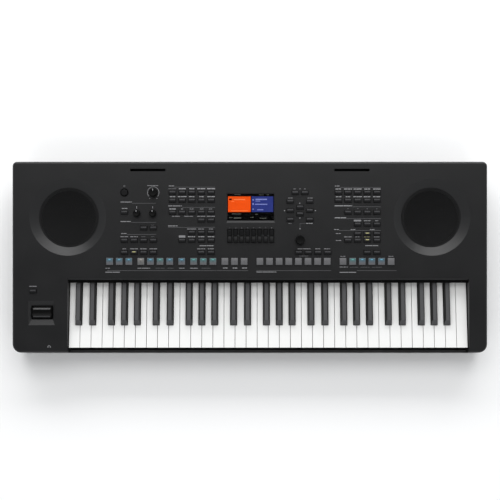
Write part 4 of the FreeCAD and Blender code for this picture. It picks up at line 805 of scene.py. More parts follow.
@dataclass
class CaseShell:
    """Both halves of the case, with the strip over the keys' rear ends, the feet and the screws."""

    # Strip on the panel's edge: black felt, partly painted shade for the dark band under that edge.
    strip_ends: Place = (-384.6, 462.6)
    strip_front: float = -53.8
    strip_low: float = 91.1
    strip_depth: float = 5.6
    strip_height: float = 2.0
    strip_bevel: float = 0.5
    # Feet: chamfered, with a ring groove in the tread.
    foot_section: Section = (
        (0.0, 6.0),
        (10.4, 6.0),
        (11.0, 5.2),
        (11.0, 1.2),
        (10.0, 0.0),
        (7.8, 0.0),
        (7.4, 0.7),
        (6.4, 0.7),
        (6.0, 0.0),
        (0.0, 0.0),
    )
    foot_places: tuple[Place, ...] = tuple(
        (x, y) for x in (-420.0, 0.0, 420.0) for y in (-155.0, 155.0)
    )
    # Screws: the head's radii at its face and its seat, its lobed socket and the shank over it.
    screw_places: tuple[Place, ...] = tuple(
        (side * x, y)
        for side in (-1.0, 1.0)
        for x, y in ((481.0, 180.5), (481.0, -164.5), (300.0, 180.5), (318.0, 38.0))
    )
    head_radii: Place = (2.6, 3.2)
    head_height: float = 2.0
    head_middle: float = 5.0
    head_steps: int = 36
    socket_rim: float = 1.1
    socket_edge: float = 0.05
    socket_depth: float = 1.3
    lobes: int = 6
    lobe_share: float = 0.16
    shank_section: Section = ((0.0, 6.0), (1.5, 6.0), (1.5, 23.0), (0.8, 24.0), (0.0, 24.0))
    shank_steps: int = 20

    def build(self) -> None:
        """Dress the shells and model the strip, the feet and the screws."""
        dress(Finishes.CASE, "lower_case")
        dress(Finishes.SEAMED_CASE, "upper_case")
        self.brow_strip()
        self.feet()
        self.screws()

    def brow_strip(self) -> None:
        """Model the soft black strip on the panel's edge that covers the rear ends of the keys and
        paints the shade under that edge.
        """
        low, high = self.strip_ends
        strip = bar((high - low, self.strip_depth, self.strip_height), self.strip_bevel)
        row = self.strip_front + self.strip_depth / 2.0
        piece = Piece("brow_felt_shade_strip", Finishes.BLACK_FELT)
        piece.add(strip, ((low + high) / 2.0, row, self.strip_low + self.strip_height / 2.0))
        piece.place(CASE, "felt", TABLE)

    def feet(self) -> None:
        """Model the feet."""
        piece = Piece("rubber_feet_moulded", Finishes.RUBBER)
        for x, y in self.foot_places:
            piece.add(turned(self.foot_section), (x, y, 0.0))
        piece.place(CASE, "rubber", TABLE, ("rubber_feet",))

    def screws(self) -> None:
        """Model the screws: heads with a lobed socket, over their shanks."""
        piece = Piece("case_screws_lobed", Finishes.STEEL)
        for x, y in self.screw_places:
            piece.add(self.screw_head(), (x, y, self.head_middle))
            piece.add(turned(self.shank_section, steps=self.shank_steps), (x, y, 0.0))
        piece.place(CASE, "steel", TABLE, ("case_screws",))

    def screw_head(self) -> bmesh.types.BMesh:
        """Model a screw's head with its socket.

        Returns:
            The head, face down, about its middle.
        """
        made = bmesh.new()
        face, seat = self.head_radii
        ends = {"radius1": face, "radius2": seat, "depth": self.head_height}
        bmesh.ops.create_cone(made, cap_ends=True, segments=self.head_steps, **ends)
        floor = min(made.faces, key=lambda side: side.calc_center_median().z)
        bmesh.ops.inset_region(made, faces=[floor], thickness=self.socket_rim)
        for vert in floor.verts:
            wave = math.cos(self.lobes * math.atan2(vert.co.y, vert.co.x))
            vert.co.xy *= 1.0 + self.lobe_share * wave
        bmesh.ops.inset_region(made, faces=[floor], thickness=self.socket_edge)
        bmesh.ops.translate(made, verts=floor.verts, vec=(0.0, 0.0, self.socket_depth))
        return made


@dataclass
class KeyBed:
    """The keys and what carries them."""

    whites: tuple[str, ...] = ("c", "d", "e", "f", "g", "a", "b")
    blacks: tuple[str, ...] = ("c_sharp", "d_sharp", "f_sharp", "g_sharp", "a_sharp")

    def build(self) -> None:
        """Dress the keys, chassis, felts, springs and contacts."""
        dress(Finishes.WHITE_KEY, *(f"keys_{note}" for note in self.whites))
        dress(Finishes.BLACK_KEY, *(f"keys_{note}" for note in self.blacks))
        dress(Finishes.NYLON, "key_chassis")
        dress(Finishes.STEEL, "key_pivot_rod", "key_springs")
        dress(Finishes.FELT, "key_felts")
        dress(Finishes.BOARD, "key_contact_board")
        dress(Finishes.SILICONE, "key_contact_rubber")


@dataclass
class ButtonField:
    """The small rectangular buttons, each with a lamp window in its cap."""

    # First column of each block, and the step from column to column.
    left: float = -265.0
    style: float = -163.4
    voice: float = 186.9
    bank: float = 103.1
    pitch: float = 20.35
    cap_height: float = 2.2
    # Windows, and the smaller bars in those that are lit.
    lens: Point = (12.2, 3.0, 0.3)
    lit_lens: Point = (7.0, 1.7, 0.44)
    lens_bevel: float = 0.12
    lens_shift: float = 1.5
    lit: tuple[Place, ...] = ((-244.65, 9.2), (247.95, 48.8), (247.95, 34.9))
    # A button within this distance of a lit place is the lit one.
    nearness: float = 1.0

    def run(self, first: float, columns: tuple[int, ...], row: float) -> list[Place]:
        """Give the places of one row of buttons, from its block's first column."""
        return [(first + column * self.pitch, row) for column in columns]

    def groups(self) -> dict[str, list[Place]]:
        """Give the places of every button.

        Returns:
            Places on the panel, by group.
        """
        run, left, style, voice = self.run, self.left, self.style, self.voice
        every, four, pair = (0, 1, 2, 3, 4), (0, 1, 2, 3), (3, 4)
        later, last = every[1:], every[2:]
        return {
            "transpose_buttons": run(left, (0,), 94.0) + run(left, (2, 3), 60.8),
            "tempo_buttons": run(left, four, 34.9) + run(left, four, 9.2),
            "style_buttons": run(style, every, 136.0) + run(style, every, 119.3),
            "song_buttons": run(style, every, 94.0) + run(style, pair, 77.5),
            "function_buttons": run(style, last, 51.6)
            + run(style, later, 34.9)
            + run(style, pair, 9.2),
            "page_buttons": [(95.9, 135.4), (115.9, 135.4)]
            + [(x, row) for row in (117.2, 78.7) for x in (85.4, 126.4)],
            "cursor_buttons": [(105.9, 105.0), (105.9, 90.6), (85.4, 97.8), (126.4, 97.8)],
            "bank_buttons": run(self.bank, four, 9.2),
            "voice_buttons": run(voice, every, 136.0) + run(voice, every, 119.3),
            "part_buttons": run(voice, later, 94.0) + run(voice, last, 68.9),
            "effect_buttons": run(voice, last, 48.8) + run(voice, later, 34.9),
            "octave_buttons": run(voice, pair, 9.2),
            "cheek_button": [(-458.0, -72.4)],
        }

    def build(self) -> None:
        """Dress the caps and model the lamp windows."""
        dress(Finishes.BUTTON, "power_button")
        for group, places in self.groups().items():
            dress(Finishes.BUTTON, group)
            piece = Piece(f"{group}_lamps", Finishes.LENS, Finishes.LIT_LENS)
            for x, row in places:
                centre = (x, row + self.lens_shift, self.cap_height)
                piece.add(bar(self.lens, self.lens_bevel), centre)
                if any(math.dist(spot, (x, row)) < self.nearness for spot in self.lit):
                    piece.add(bar(self.lit_lens, self.lens_bevel), centre, Finishes.LIT_LENS)
            piece.place(group, "button_plastic")


class Lamp(Enum):
    """Light of a pad, as the letter it has in a cluster."""

    NONE = "-"
    BLUE = "b"
    TEAL = "t"
    PALE = "p"


@dataclass
class PadRow:
    """The square pads over the keys, some of them lit."""

    first: float = -296.0
    pitch: float = 20.3
    cluster_gap: float = 5.0
    section_gap: float = 13.0
    row: float = -9.5
    top: float = 2.0
    cap: Point = (13.0, 13.4, 0.3)
    cap_bevel: float = 0.14
    # Lamp windows and marks stand a little proud of the caps.
    proud: float = 0.06
    window: Point = (4.8, 2.0, 0.3)
    window_bevel: float = 0.1
    window_shift: float = 4.0
    mark_radii: Place = (1.5, 1.4)
    mark_height: float = 0.3
    mark_shift: float = -0.8
    mark_turn: float = math.radians(-90.0)
    marked_section: str = "style_pads"
    sections: dict[str, tuple[str, ...]] = field(
        default_factory=lambda: {
            "style_pads": ("bbb", "pbtb", "b", "ttt", "---"),
            "registration_pads": ("--------",),
            "one_touch_pads": ("-tbbb-",),
        }
    )
    caps: dict[Lamp, Finish] = field(
        default_factory=lambda: {
            Lamp.NONE: Finishes.PAD,
            Lamp.BLUE: Finishes.BLUE_PAD,
            Lamp.TEAL: Finishes.TEAL_PAD,
            Lamp.PALE: Finishes.PALE_PAD,
        }
    )
    windows: dict[Lamp, Finish] = field(
        default_factory=lambda: {
            Lamp.BLUE: Finishes.BLUE_LAMP,
            Lamp.TEAL: Finishes.TEAL_LAMP,
            Lamp.PALE: Finishes.PALE_LAMP,
        }
    )

    def build(self) -> None:
        """Dress the pads, then cap, light and mark them."""
        left = self.first
        for body, clusters in self.sections.items():
            dress(Finishes.PAD, body)
            finishes = (*self.caps.values(), *self.windows.values(), Finishes.DARK_INK)
            piece = Piece(f"{body}_caps", *finishes)
            for cluster in clusters:
                for letter in cluster:
                    self.pad(piece, left, Lamp(letter), body == self.marked_section)
                    left += self.pitch
                left += self.cluster_gap
            left += self.section_gap - self.cluster_gap
            piece.place(body, "pad_plastic")

    def pad(self, piece: Piece, x: float, lamp: Lamp, marked: bool) -> None:
        """Lay the cap, lamp window and mark of one pad.

        Args:
            piece: Piece that takes them.
            x: Middle of the pad across the panel.
            lamp: Its light.
            marked: Whether it has a mark.
        """
        level = self.top + self.proud
        piece.add(bar(self.cap, self.cap_bevel), (x, self.row, self.top), self.caps[lamp])
        if lamp in self.windows:
            window = bar(self.window, self.window_bevel)
            piece.add(window, (x, self.row + self.window_shift, level), self.windows[lamp])
        if marked:
            mark = arrowhead(self.mark_radii, self.mark_height)
            turn = Matrix.Rotation(self.mark_turn, 4, "Z")
            piece.add(mark, (x, self.row + self.mark_shift, level), Finishes.DARK_INK, turn)


@dataclass
class Knob:
    """One turning knob, its grip and its pointer.

    Attributes:
        node: Name of its node and its body.
        x: Its axis across the panel.
        row: Its axis up the panel.
        radius: Radius at its foot.
        height: Height of its solid.
        ribs: Number of grip ribs.
        pointed: Whether it has a pointer.
    """

    node: str
    x: float
    row: float
    radius: float
    height: float
    ribs: int
    pointed: bool
    # The cap stands clear of the panel, and its pointer stays under the solid's height.
    foot: float = 0.5
    spare: float = 0.16
    taper: float = 0.8
    rib_depth: float = 0.55
    # Top: a chamfered crown, a flat rim and a shallow dish.
    crown: float = 0.7
    rim_width: float = 1.2
    dish_slope: float = 0.8
    dish_depth: float = 0.4
    shaft_section: Section = ((0.0, -8.6), (2.6, -8.6), (3.0, -8.2), (3.0, 1.0), (0.0, 1.0))
    shaft_steps: int = 24
    # Pointer: its length as a share of the radius, and its distance from the foot's edge.
    pointer_share: float = 0.42
    pointer_inset: float = 1.9
    pointer_width: float = 1.3
    pointer_height: float = 0.3
    pointer_bevel: float = 0.1

    def build(self) -> None:
        """Model the ribbed cap with its pointer and shaft."""
        piece = Piece(f"{self.node}_ribbed", Finishes.KNOB, Finishes.INLAY)
        piece.add(self.cap(), (self.x, self.row, self.foot))
        shaft = turned(self.shaft_section, steps=self.shaft_steps)
        piece.add(shaft, (self.x, self.row, 0.0))
        if self.pointed:
            reach = self.radius * self.pointer_share
            pointer = bar((self.pointer_width, reach, self.pointer_height), self.pointer_bevel)
            row = self.row + self.radius - self.pointer_inset - reach / 2.0
            top = self.height + self.foot - self.spare
            piece.add(pointer, (self.x, row, top), Finishes.INLAY)
        piece.place(self.node, "knob_plastic", replaces=(self.node,))

    def cap(self) -> bmesh.types.BMesh:
        """Model the cap with its grip ribs and its top.

        Returns:
            The cap, standing on the origin.
        """
        made = bmesh.new()
        wall = self.height - self.spare - self.crown
        lift = Matrix.Translation((0.0, 0.0, wall / 2.0))
        ends = {"radius1": self.radius, "radius2": self.radius - self.taper, "depth": wall}
        bmesh.ops.create_cone(made, cap_ends=True, segments=self.ribs * 2, matrix=lift, **ends)
        for vert in made.verts:
            step = round(math.atan2(vert.co.y, vert.co.x) / (math.pi / self.ribs))
            if step % 2:
                vert.co.xy *= 1.0 - self.rib_depth / self.radius
        top = max(made.faces, key=lambda face: face.calc_center_median().z)
        chamfer, rim = (self.crown, self.crown), (self.rim_width, 0.0)
        for inset, rise in (chamfer, rim, (self.dish_slope, -self.dish_depth)):
            bmesh.ops.inset_region(made, faces=[top], thickness=inset)
            bmesh.ops.translate(made, verts=top.verts, vec=(0.0, 0.0, rise))
        return made


@dataclass
class PitchWheel:
    """The thumb wheel on the left cheek, with a hollow for the thumb and fine grip ribs."""

    x: float = -439.8
    row: float = -117.7
    axis: float = -16.5
    radius: float = 17.0
    width: float = 40.8
    rim_bevel: float = 0.7
    ribs: int = 48
    # Steps from rib to rib, half of them in the groove.
    rib_steps: int = 4
    rib_depth: float = 0.45
    # Hollow: radius of its arc, and rise of the arc's middle over the axle.
    hollow_radius: float = 10.0
    hollow_rise: float = 23.3
    # Lining of the hollow, and grey bands beside it painted as highlights, which keep clear of the
    # drum's sides.
    liner_walls: Place = (9.65, 10.3)
    liner_arc: float = 76.0
    lip_walls: Place = (16.0, 17.0)
    lip_start: float = 22.6
    lip_arc: float = 12.0
    side_margin: float = 2.4
    strip_steps: int = 16
    # How far the drum lies under the lining and the lips.
    under: float = 0.02
    axle_section: Section = (
        (0.0, -26.0),
        (2.6, -26.0),
        (3.0, -25.6),
        (3.0, 25.6),
        (2.6, 26.0),
        (0.0, 26.0),
    )
    axle_steps: int = 24

    def build(self) -> None:
        """Model the drum, its axle, the lining of its hollow and the painted highlight bands beside
        it.
        """
        # Lays z across the panel, so that x runs up it and y stands on it.
        lay = Matrix(((0, 0, 1, 0), (1, 0, 0, 0), (0, 1, 0, 0), (0, 0, 0, 1)))
        centre = (self.x, self.row, self.axis)
        piece = Piece("pitch_wheel_ribbed", Finishes.WHEEL, Finishes.KNOB)
        piece.add(self.drum(), centre, Finishes.KNOB, lay)
        liner = self.strip(self.liner_walls, -90.0, self.liner_arc)
        piece.add(liner, (self.x, self.row, self.axis + self.hollow_rise), Finishes.KNOB, lay)
        # Painted highlights: grey bands beside the hollow, lighter than the near-black drum as if
        # lit from above.
        for side in (-1.0, 1.0):
            middle = 90.0 + side * (self.lip_start + self.lip_arc / 2.0)
            highlight_band = self.strip(self.lip_walls, middle, self.lip_arc)
            piece.add(highlight_band, centre, Finishes.WHEEL, lay)
        axle = turned(self.axle_section, steps=self.axle_steps)
        piece.add(axle, centre, Finishes.KNOB, lay)
        piece.place("pitch_wheel", "knob_plastic", replaces=("pitch_wheel",))

    def drum(self) -> bmesh.types.BMesh:
        """Model the drum with its ribs and the hollow.

        Returns:
            The drum along z, with its thumb side along y.
        """
        made = bmesh.new()
        steps, radius = self.ribs * self.rib_steps, self.radius - self.under
        bmesh.ops.create_circle(made, cap_ends=True, segments=steps, radius=radius)
        for vert in made.verts:
            vert.co = self.drawn_in(vert.co)
        grown = bmesh.ops.extrude_face_region(made, geom=list(made.faces))["geom"]
        moved = [item for item in grown if isinstance(item, bmesh.types.BMVert)]
        bmesh.ops.translate(made, verts=moved, vec=(0.0, 0.0, self.width))
        bmesh.ops.translate(made, verts=made.verts, vec=(0.0, 0.0, -self.width / 2.0))
        rims = [edge for edge in made.edges if abs(edge.verts[0].co.z - edge.verts[1].co.z) < WELD]
        rounding = {"offset": self.rim_bevel, "segments": 2, "profile": 0.5, "material": -1}
        bmesh.ops.bevel(made, geom=rims, affect="EDGES", **rounding)
        return made

    def strip(self, walls: Place, middle: float, angle: float) -> bmesh.types.BMesh:
        """Model a strip along the drum's width that bends evenly about a middle, in degrees."""
        width = self.width - 2.0 * self.side_margin
        return bent(walls, width, middle - angle / 2.0, angle, self.strip_steps)

    def drawn_in(self, point: Vector) -> Vector:
        """Draw a rim point in, to the hollow or to the groove between two ribs.

        Args:
            point: Point on the drum's round rim, with the thumb side along y.

        Returns:
            Point on the finished rim.
        """
        away = point.x**2
        if away < self.hollow_radius**2 and point.y > 0.0:
            floor = self.hollow_rise - math.sqrt(self.hollow_radius**2 - away)
            if floor < point.y:
                return Vector((point.x, floor - self.under, 0.0))
        turn = math.atan2(point.y, point.x) / math.tau
        step = round(turn * self.ribs * self.rib_steps) % self.rib_steps
        groove = self.rib_depth if step < self.rib_steps // 2 else 0.0
        return point * (1.0 - groove / self.radius)


@dataclass
class SpeakerPair:
    """Both speakers: perforated grilles over the drivers."""

    centres: Place = (-384.5, 384.5)
    row: float = 83.8
    floor: float = -12.0
    rim_section: Section = (
        (60.6, 0.0),
        (62.5, 0.0),
        (62.5, 0.7),
        (62.1, 0.95),
        (61.2, 0.95),
        (60.6, 0.6),
    )
    round_steps: int = 72
    # Sheet: its edge, how far it runs under the rim, its holes and the webs between them.
    margin: float = 60.6
    overlap: float = 0.4
    pitch: float = 2.6
    web: float = 0.9
    corners: int = 6
    thickness: float = 0.8
    # Corners of neighbouring holes that are nearer than this share of the pitch are one.
    join_share: float = 0.02
    bowl_radius: float = 56.5
    bowl_depth: float = 4.6
    sheet_lift: float = 0.1
    cloth_lift: float = 0.04
    cloth_rings: int = 8

    def build(self) -> None:
        """Dress the drivers and model the grilles."""
        dress(Finishes.DARK_STEEL, "speaker_baskets")
        dress(Finishes.PAPER, "speaker_cones")
        dress(Finishes.FERRITE, "speaker_magnets")
        piece = Piece("speaker_grilles_perforated", Finishes.GRILLE, Finishes.CLOTH)
        rings = range(self.cloth_rings + 1)
        radii = tuple((self.bowl_radius * ring / self.cloth_rings, 0.0) for ring in rings)
        for x in self.centres:
            cloth = self.pressed(turned(radii, steps=self.round_steps))
            piece.add(cloth, (x, self.row, self.floor + self.cloth_lift), Finishes.CLOTH)
            sheet = self.pressed(self.perforated())
            piece.add(sheet, (x, self.row, self.floor + self.sheet_lift))
            rim = turned(self.rim_section, True, steps=self.round_steps)
            piece.add(rim, (x, self.row, self.floor))
        piece.place(CASE, "grille_metal", replaces=("speaker_grilles",))

    def pressed(self, sheet: bmesh.types.BMesh) -> bmesh.types.BMesh:
        """Press a flat sheet into a shallow bowl.

        Args:
            sheet: Sheet about the middle of the grille.

        Returns:
            The same sheet, lowest in its middle.
        """
        for vert in sheet.verts:
            share = vert.co.xy.length / self.bowl_radius
            vert.co.z -= self.bowl_depth * max(0.0, 1.0 - share**2)
        return sheet

    def perforated(self) -> bmesh.types.BMesh:
        """Model one sheet of steel with staggered holes.

        Returns:
            The sheet, about the middle of its lower side.
        """
        made = bmesh.new()
        rise = self.pitch * math.sqrt(3.0) / 2.0
        radius = self.pitch / math.sqrt(3.0)
        reach = int(self.margin / rise) + 1
        corner = Matrix.Rotation(math.pi / self.corners, 4, "Z")
        for line in range(-reach, reach + 1):
            for place in range(-reach, reach + 1):
                x, y = (place + 0.5 * (line % 2)) * self.pitch, line * rise
                if math.hypot(x, y) > self.margin + self.overlap:
                    continue
                cell = {"radius": radius, "matrix": Matrix.Translation((x, y, 0.0)) @ corner}
                bmesh.ops.create_circle(made, cap_ends=True, segments=self.corners, **cell)
        bmesh.ops.remove_doubles(made, verts=made.verts, dist=self.pitch * self.join_share)
        bmesh.ops.inset_individual(made, faces=made.faces, thickness=self.web / 2.0)
        holes = [face for face in made.faces if len(face.verts) == self.corners]
        bmesh.ops.delete(made, geom=holes, context="FACES")
        bmesh.ops.recalc_face_normals(made, faces=made.faces)
        bmesh.ops.solidify(made, geom=made.faces, thickness=self.thickness)
        lowest = min(vert.co.z for vert in made.verts)
        bmesh.ops.translate(made, verts=made.verts, vec=(0.0, 0.0, -lowest))
        return made


@dataclass
class DisplayUnit:
    """The colour display behind its window, showing two plain tiles and a few bars."""

    ground: Mark = (1.6, 105.0, 98.0, 56.4)
    orange: Mark = (-22.15, 111.5, 47.9, 33.0)
    blue: Mark = (26.5, 111.5, 45.6, 33.0)
    dark: tuple[Mark, ...] = ((-41.0, 121.8, 6.0, 3.4),)
    warm: tuple[Mark, ...] = (
        (-22.0, 121.5, 24.0, 2.2),
        (-36.0, 117.6, 6.0, 1.2),
        (-22.0, 97.6, 36.0, 1.2),
    )
    cool: tuple[Mark, ...] = (
        (24.0, 121.8, 24.0, 2.4),
        (17.0, 118.2, 10.0, 1.4),
        (24.0, 111.4, 26.0, 1.8),
        (22.0, 99.8, 13.0, 1.8),
        (6.8, 121.0, 3.0, 3.4),
        (6.8, 112.0, 3.0, 3.4),
        (6.8, 101.0, 3.0, 2.4),
    )
    dim: tuple[Mark, ...] = (
        (-26.0, 131.6, 14.0, 1.4),
        (24.0, 131.4, 10.0, 1.6),
        (38.0, 131.4, 5.0, 1.6),
        (-28.0, 91.0, 20.0, 1.4),
        (-40.0, 83.2, 8.0, 1.4),
        (-26.0, 82.4, 16.0, 2.4),
        (14.0, 90.0, 6.0, 1.4),
        (28.0, 82.0, 14.0, 1.6),
        (4.0, 83.6, 7.0, 1.4),
    )
    # Height of the glass, under the panel. Tiles and bars stand a little higher than it.
    level: float = -4.46
    ground_height: float = 0.04
    tile_height: float = 0.08
    tile_lift: float = 0.02
    tile_bevel: float = 0.02
    mark_height: float = 0.1
    mark_lift: float = 0.03

    def build(self) -> None:
        """Dress the module and its window and lay out the picture."""
        dress(Finishes.GLASS_BLACK, "lcd_module")
        dress(Finishes.WINDOW, "display_window")
        tiles = {Finishes.ORANGE: self.orange, Finishes.BLUE: self.blue}
        bars = {
            Finishes.PALE_ORANGE: self.warm,
            Finishes.PALE_BLUE: self.cool,
            Finishes.DIM_CELLS: self.dim,
        }
        piece = Piece("display_picture", Finishes.GLASS_BLACK, *tiles, *bars)
        x, row, width, depth = self.ground
        piece.add(bar((width, depth, self.ground_height)), (x, row, self.level))
        for finish, (x, row, width, depth) in tiles.items():
            tile = bar((width, depth, self.tile_height), self.tile_bevel, 1)
            piece.add(tile, (x, row, self.level + self.tile_lift), finish)
        for finish, marks in {Finishes.GLASS_BLACK: self.dark, **bars}.items():
            for x, row, width, depth in marks:
                mark = bar((width, depth, self.mark_height))
                piece.add(mark, (x, row, self.level + self.mark_lift), finish)
        piece.place(CASE, "display_panel")


@dataclass
class RockerRow:
    """The rockers under the display: dark bodies with a smooth face on each half."""

    count: int = 8
    pitch: float = 12.66
    middle: float = 1.8
    row: float = 44.4
    face: Point = (6.4, 11.4, 0.36)
    face_bevel: float = 0.16
    reach: float = 7.1
    rise: float = 2.02
    lean: float = math.radians(6.5)

    def build(self) -> None:
        """Dress the rockers and lay a face on both slopes of each one."""
        dress(Finishes.KNOB, "display_rockers")
        piece = Piece("display_rockers_faces", Finishes.ROCKER)
        for index in range(self.count):
            x = self.middle + (index - (self.count - 1) / 2.0) * self.pitch
            for side in (-1.0, 1.0):
                slope = Matrix.Rotation(side * self.lean, 4, "X")
                face = bar(self.face, self.face_bevel)
                piece.add(face, (x, self.row + side * self.reach, self.rise), turn=slope)
        piece.place("display_rockers", "knob_plastic")


class Tone(Enum):
    """Strength of the panel print, as its ink."""

    DIM = Finishes.DIM_INK
    PLAIN = Finishes.INK
    BRIGHT = Finishes.BRIGHT_INK
    AMBER = Finishes.AMBER_INK


# Long lines of the panel print, as (row, left end, right end).
LINES: tuple[Point, ...] = (
    (113.2, -248.4, -198.5),
    (72.9, -250.9, -198.1),
    (47.5, -259.3, -198.1),
    (147.4, -159.5, -73.6),
    (104.7, -142.8, -73.6),
    (62.5, -172.4, -73.6),
    (146.8, 189.9, 276.4),
    (106.0, 216.9, 276.4),
    (80.9, 204.0, 276.4),
    (56.0, 188.2, 276.4),
    (-28.9, -301.6, -71.0),
    (-28.9, -69.8, -3.9),
    (-28.9, 14.0, 171.3),
    (-28.9, 226.2, 309.6),
)

# Plain bars of the panel print.
STROKES: dict[Tone, tuple[Mark, ...]] = {
    # Leader line to the data dial.
    Tone.DIM: ((112.0, 70.8, 12.4, 0.5), (105.9, 65.4, 0.5, 10.6)),
    # Two filled boxes, the ends of the volume scale and the power mark's stroke.
    Tone.PLAIN: (
        (-143.2, 43.1, 13.5, 4.6),
        (227.2, 76.7, 15.6, 3.6),
        (-211.6, 123.6, 2.6, 1.2),
        (-196.3, 123.6, 2.6, 1.2),
        (-264.9, 150.9, 0.45, 2.0),
    ),
    # Middles of the live knobs, and the ear cups of the headphone mark.
    Tone.BRIGHT: (
        (-238.9, 104.4, 1.2, 5.0),
        (-205.2, 104.4, 1.2, 5.0),
        (-426.4, -190.2, 1.5, 2.2),
        (-421.4, -190.2, 1.5, 2.2),
    ),
}

# Arcs of the panel print: place, radius of the middle line and its width, then where the arc
# starts and how far it runs, in degrees.
ARCS: dict[Tone, tuple[tuple[Place, float, float, float, float], ...]] = {
    # Volume scale and power mark.
    Tone.PLAIN: (
        ((-203.95, 136.0), 12.2, 1.1, -42.0, 264.0),
        ((-264.9, 149.6), 1.5, 0.45, 120.0, 300.0),
    ),
    # Dot at the end of the leader line, and bow of the headphone mark.
    Tone.BRIGHT: (
        ((105.9, 59.4), 0.6, 1.2, 0.0, 360.0),
        ((-423.9, -189.4), 2.3, 0.7, 0.0, 180.0),
    ),
}

# Arrows about the cursor buttons, as (x, row, turn in degrees).
ARROWS: tuple[Point, ...] = (
    (105.2, 113.4, 0.0),
    (73.2, 97.8, 90.0),
    (105.4, 82.2, 180.0),
    (138.4, 97.8, 270.0),
)

# Labels of the panel print.
LABELS: dict[Tone, tuple[Mark, ...]] = {
    Tone.DIM: (
        (-205.5, 67.4, 6.3, 1.2), (-224.9, 42.7, 8.4, 1.2), (-205.3, 42.7, 6.3, 1.2),
        (-163.7, 144.0, 16.9, 1.7), (113.9, 1.9, 19.0, 1.5), (207.2, 101.8, 2.5, 1.8),
        (228.1, 101.8, 2.5, 1.8), (247.7, 101.8, 2.5, 1.8), (268.0, 101.8, 2.5, 1.8),
        (219.9, -21.7, 16.9, 1.0), (243.1, -21.7, 19.0, 1.0), (268.4, -21.7, 21.1, 1.0),
        (-189.7, -23.8, 19.0, 1.0), (-167.5, -23.8, 12.7, 1.0), (-92.6, -23.8, 19.0, 1.0),
    ),
    Tone.PLAIN: (
        (-205.1, 150.6, 23.2, 1.7), (-261.0, 115.9, 24.1, 2.2), (-262.3, 74.8, 21.5, 2.2),
        (-266.1, 49.4, 11.4, 2.0), (-265.2, 42.7, 15.8, 1.9), (-244.6, 42.7, 15.8, 1.9),
        (-265.2, 17.1, 7.4, 1.9), (-244.6, 17.1, 16.9, 1.9), (-224.9, 17.1, 13.7, 1.9),
        (-204.0, 17.1, 15.8, 1.9), (-165.6, 149.9, 11.0, 2.2), (-158.0, 107.7, 28.5, 2.3),
        (-143.2, 101.2, 4.6, 1.7), (-123.0, 101.2, 8.4, 1.7), (-101.6, 101.2, 7.4, 1.7),
        (-82.9, 101.2, 6.3, 1.7), (-156.3, 85.8, 16.9, 1.7), (-129.5, 85.8, 19.0, 1.7),
        (-102.7, 85.8, 16.9, 2.3), (-82.4, 85.8, 16.9, 2.3), (-162.7, 65.5, 20.1, 2.3),
        (-123.0, 58.9, 19.0, 1.9), (-103.1, 58.9, 12.7, 1.9), (-82.0, 58.9, 8.4, 1.9),
        (-91.5, 23.7, 29.6, 2.2), (-102.7, 17.1, 16.9, 1.9), (-82.4, 17.1, 12.7, 1.9),
        (94.5, 143.6, 4.6, 1.3), (105.9, 143.6, 3.0, 1.3), (116.0, 143.6, 3.4, 1.3),
        (85.6, 124.4, 9.7, 1.6), (127.4, 124.4, 10.6, 1.6), (84.8, 70.8, 6.3, 1.4),
        (114.3, 17.1, 27.4, 1.9), (143.4, 17.1, 10.6, 1.9), (162.9, 17.1, 12.7, 1.9),
        (184.4, 149.7, 9.7, 2.2), (247.7, 76.5, 13.7, 2.0), (268.0, 76.5, 6.3, 2.0),
        (182.9, 57.9, 9.7, 2.0), (217.7, 57.9, 9.7, 2.0), (258.3, 57.9, 9.7, 2.0),
        (186.7, 49.4, 10.6, 1.7), (187.1, 34.7, 11.6, 1.7), (207.0, 42.3, 15.8, 2.0),
        (227.2, 42.3, 8.4, 2.0), (268.0, 42.3, 11.6, 2.0), (257.4, 23.9, 27.4, 2.2),
        (196.6, 1.3, 10.6, 1.4), (297.8, 1.3, 10.6, 1.4), (198.1, -21.3, 17.3, 1.7),
        (-223.9, -23.8, 26.4, 1.9), (-143.7, -23.8, 11.6, 1.9), (-118.1, -23.8, 15.8, 1.9),
        (-289.7, -32.2, 30.4, 2.1), (-300.2, -23.8, 9.3, 1.7), (34.9, -31.8, 42.2, 2.1),
        (206.8, -32.5, 34.8, 2.1), (-458.0, -62.0, 15.8, 1.7),
    ),
    Tone.BRIGHT: (
        (-264.4, 102.4, 11.6, 1.7), (-142.6, 144.0, 14.8, 2.6), (-122.5, 144.0, 10.6, 2.6),
        (-102.5, 144.0, 16.9, 2.6), (-82.0, 144.0, 16.9, 2.6), (-163.3, 127.3, 11.6, 2.3),
        (-142.8, 127.3, 17.9, 2.3), (-122.8, 127.3, 11.6, 2.3), (-102.1, 127.3, 9.5, 2.3),
        (-82.0, 127.3, 15.8, 2.3), (-123.2, 42.7, 14.8, 2.2), (-102.7, 42.7, 12.7, 2.2),
        (-82.0, 42.7, 13.7, 2.2), (125.7, 70.8, 13.7, 2.0), (186.7, 143.4, 11.6, 2.4),
        (207.2, 143.4, 16.9, 2.4), (227.5, 143.4, 16.9, 2.4), (247.7, 143.4, 12.7, 2.4),
        (268.0, 143.4, 15.8, 2.4), (187.4, 127.1, 11.6, 2.3), (207.0, 127.1, 9.5, 2.3),
        (227.7, 127.1, 17.9, 2.3), (247.3, 127.1, 13.7, 2.3), (267.6, 127.1, 14.8, 2.3),
        (191.2, 82.6, 24.1, 2.2), (-52.0, -23.4, 9.5, 2.1), (-31.3, -23.4, 9.5, 2.1),
        (-11.3, -23.4, 10.6, 2.1), (-163.3, 101.2, 13.7, 2.6), (197.5, 107.9, 36.9, 2.2),
    ),
    Tone.AMBER: ((247.3, 42.3, 11.6, 2.0),),
}


